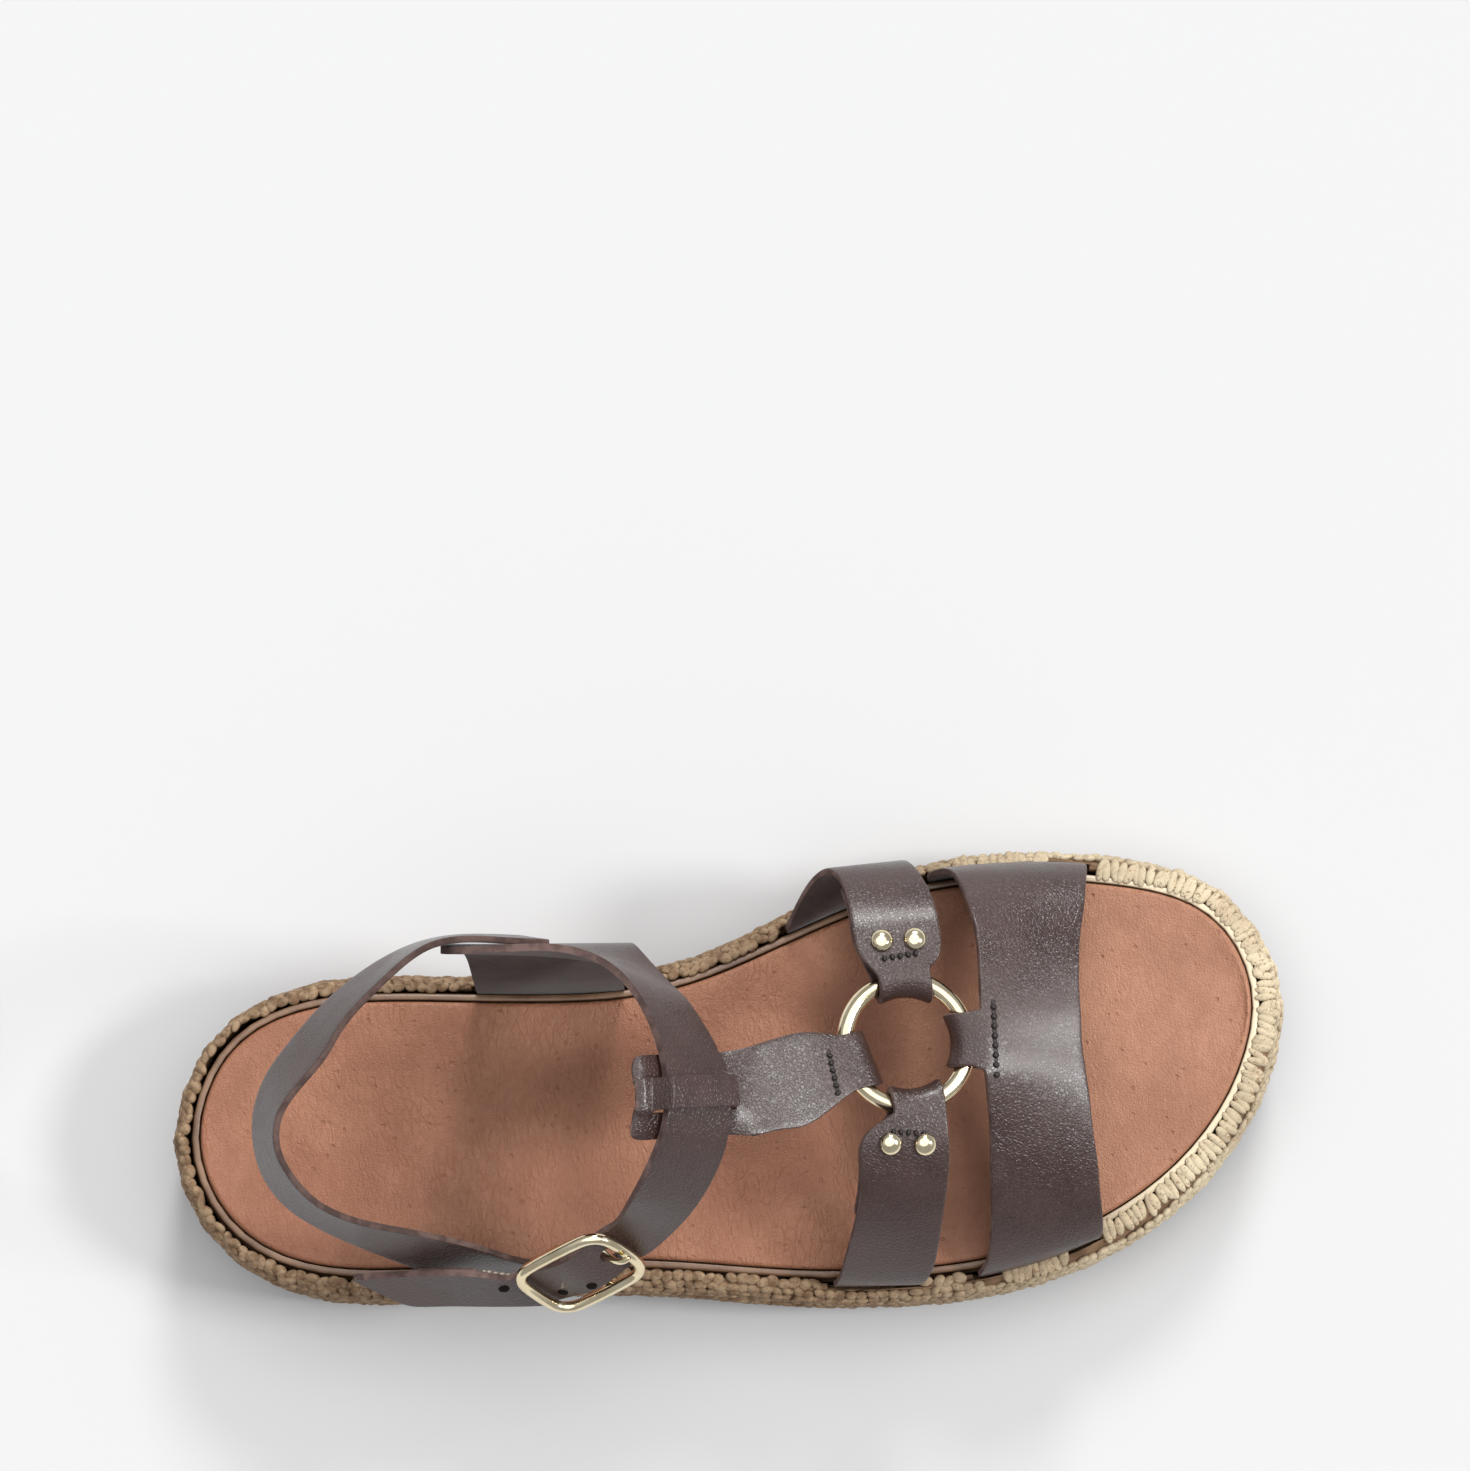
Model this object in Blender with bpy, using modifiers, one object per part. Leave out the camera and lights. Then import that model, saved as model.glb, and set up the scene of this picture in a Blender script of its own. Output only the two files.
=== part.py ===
"""Right leather sandal on a jute wrapped platform, with a ring joining its front straps.

Metres, +X towards the toe, +Y towards the medial side, +Z up. Tables hold their lengths
as shares of the named sizes: along of FOOT_LENGTH from the back of the footbed, across of
BALL_WIDTH from the line through the heel, rise of INSTEP_RISE above the footbed.
"""
import math

import bmesh
import bpy
from mathutils import Matrix, Vector

# Driving sizes of the last
FOOT_LENGTH = 0.246
BALL_WIDTH = 0.089
INSTEP_RISE = 0.060
HEEL_HEIGHT = 0.033
HEEL_DROP = 0.009
TOE_SPRING = 0.006
WAIST_RISE = 0.0015

# Thicknesses and clearances
GAP = 0.0003
LOOP_SLACK = 1.6
LEATHER = 0.0017
ELASTIC_THICKNESS = 0.0012
INSOLE_THICKNESS = 0.0032
INSOLE_CUP = 0.0012
INSOLE_ROUND = 0.0008
OUTSOLE_THICKNESS = 0.0045
OUTSOLE_INSET = 0.0006
OUTSOLE_ROUND = 0.0012
RIM_WIDTH = 0.0016
RIM_HEIGHT = 0.0042
RIM_DROP = 0.0004
RIM_ROUND = 0.0005
CHANNEL_WIDTH = 0.0010
SOLE_EDGE = 0.0090
JUTE_DROP = 0.0010
JUTE_SHOULDER = 0.0060
JUTE_RELIEF = 0.0008
JUTE_TUCK = 0.0008
STRAP_TUCK = 0.0060
STRAP_CLEAR = 0.0022

# Ring, studs and buckle
RING_DIAMETER = 0.0330
RING_WIRE = 0.0040
RING_TILT = math.radians(12.0)
STRAP_LOOP_WIDTH = 0.0122
T_BAR_LOOP_WIDTH = 0.0128
T_BAR_WIDTH = 0.0184
STUD_DIAMETER = 0.0057
STUD_HEIGHT = 0.0017
BUCKLE_LENGTH = 0.0282
BUCKLE_WIDTH = 0.0226
BUCKLE_WIRE = 0.0031
BUCKLE_CORNER = 0.0055
CENTRE_BAR = 0.0020
CENTRE_BAR_DROP = 0.0038
PRONG_WIRE = 0.0015
STRAP_END_WIDTH = 0.0132
ELASTIC_WIDTH = 0.0110
PRONG_HOLE = 0.0044

# Counts of rows and faces
SIDE_ROWS = 28
CAP_COLUMNS = 4
JUTE_ROWS = 7
OUTLINE_STEPS = 6
LAP_ROWS = 6
T_BAR_LAP_ROWS = 4
LOOP_STEPS = 6
LAP_START = 3
TAB_START = 18
TAB_END = 22
INSTEP_ROW = 18

# Sums that many pieces share
RIM_INNER = GAP
RIM_OUTER = RIM_INNER + RIM_WIDTH
JUTE_INNER = RIM_OUTER + CHANNEL_WIDTH
STRAP_OFFSET = RIM_OUTER + GAP + LEATHER / 2
LAYER_STEP = LEATHER + GAP
RING_RADIUS = (RING_DIAMETER - RING_WIRE) / 2

# Shares: of FOOT_LENGTH where toe spring and waist begin and how long they are, of the
# jute's height that its shoulder takes, of the jute's width and of BALL_WIDTH by which the
# medial side is narrower, of the toe strap's width that its tab's lap covers, and of
# RING_WIRE at which a strap leaves the ring
TOE_START = 0.76
TOE_RUN = 0.27
WAIST_START = 0.30
WAIST_RUN = 0.24
JUTE_BEND = 0.30
MEDIAL_TRIM = 0.18
MEDIAL_TRIM_WIDTH = 0.30
TAB_LAP = (0.16, 0.34)
LOOP_OPENING = 0.35
LOOP_CLOSING = 0.10

# Footbed outline: along, across, for each side from the back of the heel to the tip
MEDIAL_OUTLINE = [
    (0.000, 0.000), (0.012, 0.111), (0.036, 0.214), (0.072, 0.278), (0.131, 0.311),
    (0.200, 0.300), (0.284, 0.272), (0.347, 0.254), (0.410, 0.246), (0.457, 0.259),
    (0.506, 0.289), (0.583, 0.363), (0.640, 0.413), (0.710, 0.453), (0.765, 0.458),
    (0.830, 0.445), (0.900, 0.405), (0.950, 0.358), (0.985, 0.270), (1.002, 0.150),
    (1.003, 0.055),
]
LATERAL_OUTLINE = [
    (0.000, 0.000), (0.004, -0.107), (0.025, -0.229), (0.059, -0.313), (0.105, -0.365),
    (0.162, -0.388), (0.258, -0.404), (0.360, -0.418), (0.431, -0.441), (0.513, -0.482),
    (0.591, -0.512), (0.673, -0.525), (0.730, -0.518), (0.790, -0.490), (0.848, -0.434),
    (0.905, -0.345), (0.950, -0.232), (0.982, -0.105), (1.003, 0.055),
]
# Height of the footbed: along, share of HEEL_DROP below the heel
FOOTBED_PROFILE = [
    (-0.05, 0.00), (0.15, 0.02), (0.30, 0.11), (0.45, 0.44), (0.60, 0.86), (0.75, 1.00),
    (0.90, 0.83), (1.06, 0.50),
]
# How far the jute stands past the footbed: along, share of SOLE_EDGE
SOLE_SPREAD = [
    (-0.05, 0.56), (0.05, 0.64), (0.13, 0.76), (0.50, 0.79), (0.75, 0.86), (0.90, 0.85),
    (1.06, 0.72),
]
# Strap rows: along, across and rise of one edge, then of the other
TOE_STRAP = [
    (0.720, 0.489, 0.146, 0.859, 0.458, 0.132), (0.730, 0.471, 0.284, 0.854, 0.408, 0.249),
    (0.736, 0.420, 0.383, 0.849, 0.345, 0.305), (0.742, 0.336, 0.484, 0.841, 0.270, 0.351),
    (0.743, 0.253, 0.517, 0.837, 0.202, 0.375), (0.741, 0.170, 0.537, 0.834, 0.135, 0.383),
    (0.739, 0.098, 0.546, 0.833, 0.062, 0.383), (0.738, 0.019, 0.547, 0.831, -0.006, 0.376),
    (0.737, -0.060, 0.542, 0.832, -0.079, 0.366), (0.737, -0.138, 0.506, 0.833, -0.157, 0.350),
    (0.737, -0.194, 0.470, 0.833, -0.230, 0.329), (0.735, -0.265, 0.428, 0.835, -0.311, 0.291),
    (0.733, -0.348, 0.364, 0.835, -0.376, 0.241), (0.731, -0.433, 0.274, 0.836, -0.442, 0.169),
    (0.726, -0.522, 0.134, 0.835, -0.489, 0.091),
]
MEDIAL_STRAP = [
    (0.581, 0.432, 0.110, 0.679, 0.496, 0.108), (0.596, 0.486, 0.215, 0.685, 0.516, 0.192),
    (0.613, 0.508, 0.331, 0.691, 0.504, 0.299), (0.624, 0.468, 0.442, 0.698, 0.469, 0.400),
    (0.628, 0.404, 0.524, 0.706, 0.404, 0.494), (0.629, 0.331, 0.578, 0.710, 0.331, 0.555),
    (0.632, 0.262, 0.600, 0.708, 0.247, 0.574),
]
LATERAL_STRAP = [
    (0.585, -0.535, 0.136, 0.664, -0.565, 0.106), (0.593, -0.479, 0.276, 0.675, -0.524, 0.207),
    (0.604, -0.400, 0.427, 0.682, -0.447, 0.338), (0.612, -0.317, 0.534, 0.690, -0.356, 0.462),
    (0.614, -0.240, 0.588, 0.696, -0.270, 0.536), (0.620, -0.190, 0.605, 0.697, -0.208, 0.566),
]
T_BAR = [
    (0.521, 0.048, 0.755, 0.520, -0.176, 0.755), (0.547, 0.066, 0.722, 0.543, -0.164, 0.722),
    (0.574, 0.078, 0.690, 0.570, -0.160, 0.688),
]
# Weave of the T bar and the ankle strap: share of the strap's width, lift of the middle
# lane, sag of the end and narrowing of the end in metres
WOVEN_ROWS = [
    (-0.36, 0.1, 0.0012, 0.0052), (-0.33, 0.1, 0.0008, 0.0016), (-0.28, 0.1, 0.0, 0.0),
    (-0.14, 0.1, 0.0, 0.0), (-0.08, 0.5, 0.0, 0.0), (-0.01, 1.0, 0.0, 0.0), (0.33, 1.0, 0.0, 0.0),
    (0.67, 1.0, 0.0, 0.0), (1.02, 1.0, 0.0, 0.0), (1.11, 0.5, 0.0, 0.0), (1.20, 0.0, 0.0, 0.0),
]
# Shares of the T bar's width at its lanes, with the two lanes that are slit
T_BAR_LANES = (0.0, 0.15, 0.28, 0.30, 0.42, 0.56, 0.68, 0.70, 0.85, 1.0)
SLIT_LANES = (2, 6)
SLIT_START = 3
ANKLE_STRAP = [
    (0.274, 0.328, 0.215, 0.413, 0.291, 0.221), (0.272, 0.373, 0.415, 0.415, 0.330, 0.388),
    (0.266, 0.385, 0.565, 0.419, 0.343, 0.506), (0.250, 0.375, 0.697, 0.425, 0.343, 0.583),
    (0.262, 0.358, 0.842, 0.431, 0.321, 0.644), (0.313, 0.345, 0.928, 0.439, 0.286, 0.690),
    (0.356, 0.333, 0.964, 0.448, 0.251, 0.716), (0.388, 0.302, 0.979, 0.458, 0.213, 0.731),
    (0.411, 0.252, 0.984, 0.469, 0.175, 0.749), (0.428, 0.180, 0.996, 0.480, 0.115, 0.782),
    (0.439, 0.090, 1.013, 0.491, 0.045, 0.826), (0.443, 0.000, 1.019, 0.496, -0.034, 0.851),
    (0.442, -0.090, 1.019, 0.497, -0.112, 0.852), (0.433, -0.169, 0.991, 0.490, -0.194, 0.819),
    (0.417, -0.247, 0.931, 0.474, -0.274, 0.749), (0.400, -0.312, 0.850, 0.449, -0.355, 0.660),
]
ANKLE_STRAP_END = [
    (0.254, -0.440, 0.411, 0.253, -0.510, 0.212), (0.224, -0.426, 0.361, 0.223, -0.499, 0.166),
    (0.190, -0.418, 0.320, 0.192, -0.491, 0.129), (0.160, -0.413, 0.295, 0.176, -0.476, 0.148),
    (0.137, -0.412, 0.276, 0.147, -0.430, 0.239),
]
HEEL_STRAP = [
    (0.213, -0.420, 0.162, 0.293, -0.413, 0.241), (0.179, -0.378, 0.285, 0.250, -0.364, 0.381),
    (0.140, -0.326, 0.433, 0.203, -0.324, 0.508), (0.109, -0.273, 0.549, 0.157, -0.292, 0.667),
    (0.088, -0.225, 0.617, 0.122, -0.245, 0.798), (0.072, -0.154, 0.667, 0.100, -0.172, 0.901),
    (0.066, -0.073, 0.692, 0.089, -0.090, 0.942), (0.069, 0.016, 0.701, 0.095, -0.011, 0.950),
    (0.083, 0.101, 0.700, 0.114, 0.051, 0.951), (0.106, 0.173, 0.699, 0.140, 0.120, 0.939),
    (0.139, 0.262, 0.683, 0.160, 0.202, 0.916), (0.180, 0.341, 0.657, 0.198, 0.294, 0.896),
    (0.228, 0.397, 0.630, 0.240, 0.374, 0.880), (0.282, 0.413, 0.612, 0.288, 0.391, 0.872),
    (0.326, 0.411, 0.608, 0.352, 0.379, 0.868),
]
# Where each strap enters the channel: side, along of one edge, along of the other
TOE_STRAP_MEDIAL = ("medial", 0.710, 0.858)
TOE_STRAP_LATERAL = ("lateral", 0.717, 0.827)
MEDIAL_STRAP_BASE = ("medial", 0.571, 0.675)
LATERAL_STRAP_BASE = ("lateral", 0.580, 0.656)
ANKLE_STRAP_BASE = ("medial", 0.275, 0.413)
HEEL_STRAP_BASE = ("lateral", 0.244, 0.350)
# Ring and buckle places: along, across, rise
RING_PLACE = (0.668, 0.031, 0.535)
BUCKLE_PLACE = (0.347, -0.466, 0.452)
BUCKLE_ALONG = Vector((0.824, 0.292, 0.485))
BUCKLE_ACROSS = Vector((0.567, -0.455, -0.690))
# Prong from the centre bar to its tip: shares of the end bar's distance, of the centre bar's
# drop and of the height over the end bar
PRONG_ROWS = [
    (0.42, 1.02, 0.00), (0.57, 0.68, 0.00), (0.67, 0.10, 0.00), (0.76, 0.00, 0.45),
    (0.88, 0.00, 0.90), (1.00, 0.00, 1.08), (1.13, 0.00, 0.94),
]
# Directions of the straps round the ring, anticlockwise from the toe
TAB_ANGLE = math.radians(-2.0)
MEDIAL_ANGLE = math.radians(94.0)
LATERAL_ANGLE = math.radians(-91.0)
T_BAR_ANGLE = math.radians(188.0)
# Shift of each loop from the line through the ring's centre, anticlockwise
MEDIAL_SHIFT = -0.0014
LATERAL_SHIFT = 0.0008
T_BAR_SHIFT = 0.0014

PARTS = "leather_sandal"
CUTTERS = "cutters"


def clear_scene():
    """Remove the objects that the scene starts with and make the two collections."""
    for thing in list(bpy.data.objects):
        bpy.data.objects.remove(thing)
    for name in (PARTS, CUTTERS):
        bpy.context.scene.collection.children.link(bpy.data.collections.new(name))


def finish_material(name, colour, roughness, metallic=0.0):
    """A Principled material with the piece's own colour, roughness and metallic value."""
    material = bpy.data.materials.new(name)
    material.use_nodes = True
    shader = material.node_tree.nodes["Principled BSDF"]
    shader.inputs["Base Color"].default_value = (*colour, 1.0)
    shader.inputs["Roughness"].default_value = roughness
    shader.inputs["Metallic"].default_value = metallic
    return material


FINISHES = {
    "rubber": ((0.030, 0.022, 0.018), 0.75, 0.0),
    "core": ((0.300, 0.240, 0.170), 0.80, 0.0),
    "jute": ((0.480, 0.340, 0.190), 0.90, 0.0),
    "bronze_edge": ((0.340, 0.200, 0.100), 0.45, 0.0),
    "cognac_leather": ((0.420, 0.170, 0.080), 0.55, 0.0),
    "brown_leather": ((0.070, 0.042, 0.034), 0.42, 0.0),
    "elastic": ((0.420, 0.390, 0.330), 0.85, 0.0),
    "pale_gold": ((0.850, 0.740, 0.480), 0.18, 1.0),
}


def add_object(name, data, finish, collection=PARTS):
    """Link new mesh or curve data as a named object with its own material."""
    thing = bpy.data.objects.new(name, data)
    bpy.data.collections[collection].objects.link(thing)
    data.materials.append(finish_material(name, *FINISHES[finish]))
    if collection == CUTTERS:
        thing.hide_render = True
        thing.display_type = "WIRE"
    return thing


def mesh_object(name, mesh_builder, finish, collection=PARTS, smooth=40.0):
    """Turn a bmesh into an object with outward faces and soft shading."""
    data = bpy.data.meshes.new(name)
    mesh_builder.to_mesh(data)
    mesh_builder.free()
    thing = add_object(name, data, finish, collection)
    data.shade_smooth()
    data.set_sharp_from_angle(angle=math.radians(smooth))
    return thing


def catmull_rom(before, start, end, after, share):
    """Point or number at a share of the way from start to end on a smooth curve."""
    squared = share * share
    cubed = squared * share
    return 0.5 * (
        2.0 * start
        + (end - before) * share
        + (2.0 * before - 5.0 * start + 4.0 * end - after) * squared
        + (3.0 * start - before - 3.0 * end + after) * cubed
    )


def table_value(table, key):
    """Smoothly interpolated second column of a table at a value of its first column."""
    last = len(table) - 1
    index = 0
    while index < last - 1 and key > table[index + 1][0]:
        index += 1
    low, high = table[index], table[index + 1]
    share = min(max((key - low[0]) / (high[0] - low[0]), 0.0), 1.0)
    before = table[max(index - 1, 0)][1]
    after = table[min(index + 2, last)][1]
    return catmull_rom(before, low[1], high[1], after, share)


def footbed_height(x):
    """Height of the footbed above the floor at a distance from the back of the heel."""
    return HEEL_HEIGHT - HEEL_DROP * table_value(FOOTBED_PROFILE, x / FOOT_LENGTH)


def tread_height(x):
    """Height of the underside: flat at heel and ball, raised at the waist and the toe."""
    along = x / FOOT_LENGTH
    toe = max(along - TOE_START, 0.0) / TOE_RUN
    waist = math.sin(math.pi * min(max((along - WAIST_START) / WAIST_RUN, 0.0), 1.0))
    return TOE_SPRING * toe * toe + WAIST_RISE * waist * waist


def place(along, across, rise):
    """Point from a table row's shares."""
    x = along * FOOT_LENGTH
    return Vector((x, across * BALL_WIDTH, footbed_height(x) + rise * INSTEP_RISE))


def closed_outline():
    """Dense closed outline of the footbed, and the index of its tip."""
    corners = [Vector((a * FOOT_LENGTH, b * BALL_WIDTH)) for a, b in MEDIAL_OUTLINE]
    back = [Vector((a * FOOT_LENGTH, b * BALL_WIDTH)) for a, b in LATERAL_OUTLINE]
    corners += back[-2:0:-1]
    count = len(corners)
    points = []
    for index in range(count):
        around = [corners[(index + step) % count] for step in (-1, 0, 1, 2)]
        for step in range(OUTLINE_STEPS):
            points.append(catmull_rom(*around, step / OUTLINE_STEPS))
    return points, (len(MEDIAL_OUTLINE) - 1) * OUTLINE_STEPS


OUTLINE, TIP_INDEX = closed_outline()


def moved_outline(distance):
    """Outline moved outwards by a number, or by a function of the outline's point."""
    count = len(OUTLINE)
    moved = []
    for index, point in enumerate(OUTLINE):
        along = OUTLINE[(index + 1) % count] - OUTLINE[index - 1]
        outward = Vector((-along.y, along.x)).normalized()
        amount = distance(point) if callable(distance) else distance
        moved.append(point + outward * amount)
    return moved


def evenly_spaced(points, count):
    """Points at equal steps of length along a polyline."""
    lengths = [0.0]
    for index in range(1, len(points)):
        lengths.append(lengths[-1] + (points[index] - points[index - 1]).length)
    spaced = []
    position = 0
    for step in range(count + 1):
        target = lengths[-1] * step / count
        while position < len(points) - 2 and lengths[position + 1] < target:
            position += 1
        share = (target - lengths[position]) / (lengths[position + 1] - lengths[position])
        spaced.append(points[position].lerp(points[position + 1], min(share, 1.0)))
    return spaced


def sides(distance):
    """Medial and lateral side of a moved outline, from heel to tip, in equal steps."""
    moved = moved_outline(distance)
    medial = evenly_spaced(moved[: TIP_INDEX + 1], SIDE_ROWS)
    lateral = evenly_spaced([moved[0]] + moved[:TIP_INDEX - 1:-1], SIDE_ROWS)
    return medial, lateral


def side_point(side, along, distance):
    """Point on one side of a moved outline at a share of the foot's length."""
    moved = moved_outline(distance)
    points = moved[: TIP_INDEX + 1] if side == "medial" else moved[TIP_INDEX:] + [moved[0]]
    target = along * FOOT_LENGTH
    for start, end in zip(points, points[1:]):
        if (start.x - target) * (end.x - target) <= 0.0 and start.x != end.x:
            return start.lerp(end, (target - start.x) / (end.x - start.x))
    raise ValueError("no point of the outline lies there")


def sole_spread(point):
    """Distance from the footbed's edge to the outer face of the jute."""
    medial = min(max(point.y / (MEDIAL_TRIM_WIDTH * BALL_WIDTH), 0.0), 1.0)
    trim = 1.0 - MEDIAL_TRIM * medial * medial * (3.0 - 2.0 * medial)
    return SOLE_EDGE * table_value(SOLE_SPREAD, point.x / FOOT_LENGTH) * trim


def layer(name, levels, finish, columns=2):
    """Closed layer of the sole from levels of outline distance and height function."""
    builder = bmesh.new()
    loops = []
    grids = []
    for distance, height in levels:
        medial, lateral = sides(distance)
        rows = []
        for left, right in zip(medial, lateral):
            row = []
            for column in range(columns + 1):
                share = column / columns
                flat = left.lerp(right, share)
                row.append(Vector((flat.x, flat.y, height(flat.x, share))))
            rows.append(row)
        grids.append(rows)
    for rows in grids:
        edge = [row[0] for row in rows] + [row[-1] for row in rows[-2:0:-1]]
        loops.append([builder.verts.new(point) for point in edge])
    for low, high in zip(loops, loops[1:]):
        for index in range(len(low)):
            after = (index + 1) % len(low)
            builder.faces.new((low[index], high[index], high[after], low[after]))
    add_cap(builder, grids[0], loops[0], False)
    add_cap(builder, grids[-1], loops[-1], True)
    bmesh.ops.recalc_face_normals(builder, faces=builder.faces[:])
    return mesh_object(name, builder, finish)


def add_cap(builder, rows, loop, upward):
    """Close a level with a grid of faces that share its loop of vertices."""
    last = len(rows) - 1
    grid = []
    for index, row in enumerate(rows):
        if index in (0, last):
            grid.append([loop[index]] * len(row))
            continue
        inner = [builder.verts.new(point) for point in row[1:-1]]
        grid.append([loop[index], *inner, loop[-index]])
    for index in range(last):
        for column in range(len(rows[0]) - 1):
            corners = []
            ring = (
                grid[index][column], grid[index][column + 1],
                grid[index + 1][column + 1], grid[index + 1][column],
            )
            for vertex in ring:
                if vertex not in corners:
                    corners.append(vertex)
            if not upward:
                corners.reverse()
            builder.faces.new(corners)


def band(name, profile, finish):
    """Closed ring round the sole from a closed profile of distances and heights."""
    builder = bmesh.new()
    loops = []
    for distance, height in profile:
        medial, lateral = sides(distance)
        edge = medial + lateral[-2:0:-1]
        loops.append([builder.verts.new((p.x, p.y, height(p.x))) for p in edge])
    count = len(loops[0])
    for index, low in enumerate(loops):
        high = loops[(index + 1) % len(loops)]
        for step in range(count):
            after = (step + 1) % count
            builder.faces.new((low[step], high[step], high[after], low[after]))
    bmesh.ops.recalc_face_normals(builder, faces=builder.faces[:])
    return mesh_object(name, builder, finish)


def insole_top(x, share):
    """Upper face of the insole, cupped a little towards its edge."""
    edge = abs(2.0 * share - 1.0)
    return footbed_height(x) - INSOLE_CUP * (1.0 - edge * edge)


def outsole_edge(point):
    """Distance from the footbed's edge to the side of the outsole."""
    return sole_spread(point) - OUTSOLE_INSET


def build_sole():
    """Outsole, platform, insole, rim and the jute round them."""
    core_top = INSOLE_THICKNESS + GAP
    core_step = STRAP_TUCK + 2 * GAP
    inner_wall = JUTE_INNER - GAP
    layer("outsole", [
        (lambda point: outsole_edge(point) - OUTSOLE_ROUND, lambda x, share: tread_height(x)),
        (outsole_edge, lambda x, share: tread_height(x) + OUTSOLE_ROUND),
        (outsole_edge, lambda x, share: tread_height(x) + OUTSOLE_THICKNESS),
    ], "rubber")
    layer("platform", [
        (inner_wall, lambda x, share: tread_height(x) + OUTSOLE_THICKNESS + GAP),
        (inner_wall, lambda x, share: footbed_height(x) - core_step),
        (RIM_OUTER - GAP, lambda x, share: footbed_height(x) - core_step),
        (RIM_OUTER - GAP, lambda x, share: footbed_height(x) - RIM_HEIGHT - RIM_DROP - GAP),
        (-GAP, lambda x, share: footbed_height(x) - RIM_HEIGHT - RIM_DROP - GAP),
        (-GAP, lambda x, share: footbed_height(x) - core_top - INSOLE_CUP),
    ], "core")
    layer("insole", [
        (0.0, lambda x, share: footbed_height(x) - INSOLE_THICKNESS - INSOLE_CUP),
        (0.0, lambda x, share: footbed_height(x) - INSOLE_ROUND),
        (-INSOLE_ROUND, insole_top),
    ], "cognac_leather", CAP_COLUMNS)
    band("footbed_rim", [
        (RIM_INNER, lambda x: footbed_height(x) - RIM_DROP - RIM_HEIGHT),
        (RIM_OUTER, lambda x: footbed_height(x) - RIM_DROP - RIM_HEIGHT),
        (RIM_OUTER, lambda x: footbed_height(x) - RIM_DROP - RIM_ROUND),
        (RIM_OUTER - RIM_ROUND, lambda x: footbed_height(x) - RIM_DROP),
        (RIM_INNER, lambda x: footbed_height(x) - RIM_DROP),
    ], "bronze_edge")
    jute = band("jute_wrap", jute_profile(), "jute")
    for base in (TOE_STRAP_MEDIAL, TOE_STRAP_LATERAL, MEDIAL_STRAP_BASE, LATERAL_STRAP_BASE,
                 ANKLE_STRAP_BASE, HEEL_STRAP_BASE):
        cut_pocket(jute, base)


def jute_profile():
    """Inner wall, shoulder and side of the jute, with one raised rib for each row."""
    def shoulder_point(share, lift):
        """Distance and height functions at a share of the way from top edge to foot."""
        turn = min(share / JUTE_BEND, 1.0) * math.pi / 2
        fall = max(share - JUTE_BEND, 0.0) / (1.0 - JUTE_BEND)

        def distance(point):
            reach = sole_spread(point) - JUTE_INNER
            ridge = lift * math.sin(turn) if fall > 0.0 else 0.0
            return JUTE_INNER + reach * math.sin(turn) + ridge - JUTE_TUCK * fall * fall

        def height(x):
            top = footbed_height(x) - JUTE_DROP
            foot = tread_height(x) + OUTSOLE_THICKNESS + GAP
            side = (top - JUTE_SHOULDER) * (1.0 - fall) + foot * fall
            curve = JUTE_SHOULDER * math.cos(turn)
            return side + curve + lift * math.cos(turn)
        return distance, height

    profile = []
    for row in range(JUTE_ROWS):
        for part, lift in ((0.0, 0.0), (0.5, JUTE_RELIEF)):
            profile.append(shoulder_point((row + part) / JUTE_ROWS, lift))
    profile.append(shoulder_point(1.0, 0.0))
    profile.append((JUTE_INNER, lambda x: tread_height(x) + OUTSOLE_THICKNESS + GAP))
    return profile


def tuck_rows(base, heights, columns, widen=0.0, reverse=False):
    """Rows of a strap's end standing in the channel between the rim and the jute."""
    side, start, end = base
    start -= widen / FOOT_LENGTH
    end += widen / FOOT_LENGTH
    rows = []
    for height in heights:
        row = []
        for column in range(columns + 1):
            along = start + (end - start) * column / columns
            flat = side_point(side, along, STRAP_OFFSET)
            row.append(Vector((flat.x, flat.y, footbed_height(flat.x) + height)))
        rows.append(row)
    return rows[::-1] if reverse else rows


def edge_rows(table, columns):
    """Rows of points between the two edges that each table row gives."""
    rows = []
    for values in table:
        left, right = place(*values[:3]), place(*values[3:])
        rows.append([left.lerp(right, column / columns) for column in range(columns + 1)])
    return rows


def bulged(rows, base_row, reach, from_end=False):
    """Carry the curve of a strap's tucked end into its first free rows, fading out."""
    last = len(base_row) - 1
    order = rows[::-1] if from_end else rows
    for index in range(min(reach, len(order))):
        weight = 1.0 - (index + 1) / (reach + 1)
        for column in range(last + 1):
            straight = base_row[0].lerp(base_row[-1], column / last)
            order[index][column] = order[index][column] + (base_row[column] - straight) * weight
    return rows


def smooth_rows(rows, steps):
    """Rows added between given ones so that each column runs on a smooth curve."""
    dense = []
    last = len(rows) - 1
    for index in range(last):
        around = [rows[max(index - 1, 0)], rows[index], rows[index + 1], rows[min(index + 2, last)]]
        for step in range(steps):
            share = step / steps
            dense.append([catmull_rom(*points, share) for points in zip(*around)])
    dense.append(rows[-1])
    return dense


def row_normals(rows):
    """Unit normal of a sheet at each of its points."""
    normals = []
    last = len(rows) - 1
    for index, row in enumerate(rows):
        before, after = rows[max(index - 1, 0)], rows[min(index + 1, last)]
        line = []
        for column in range(len(row)):
            right = row[min(column + 1, len(row) - 1)] - row[max(column - 1, 0)]
            line.append((after[column] - before[column]).cross(right).normalized())
        normals.append(line)
    return normals


def lowered_rows(rows, distance):
    """Parallel copy of a sheet's rows on its lower side, towards the foot."""
    lowered = []
    for row, line in zip(rows, row_normals(rows)):
        side = -1.0 if sum(normal.z for normal in line) > 0.0 else 1.0
        lowered.append([point + normal * distance * side for point, normal in zip(row, line)])
    return lowered


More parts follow.
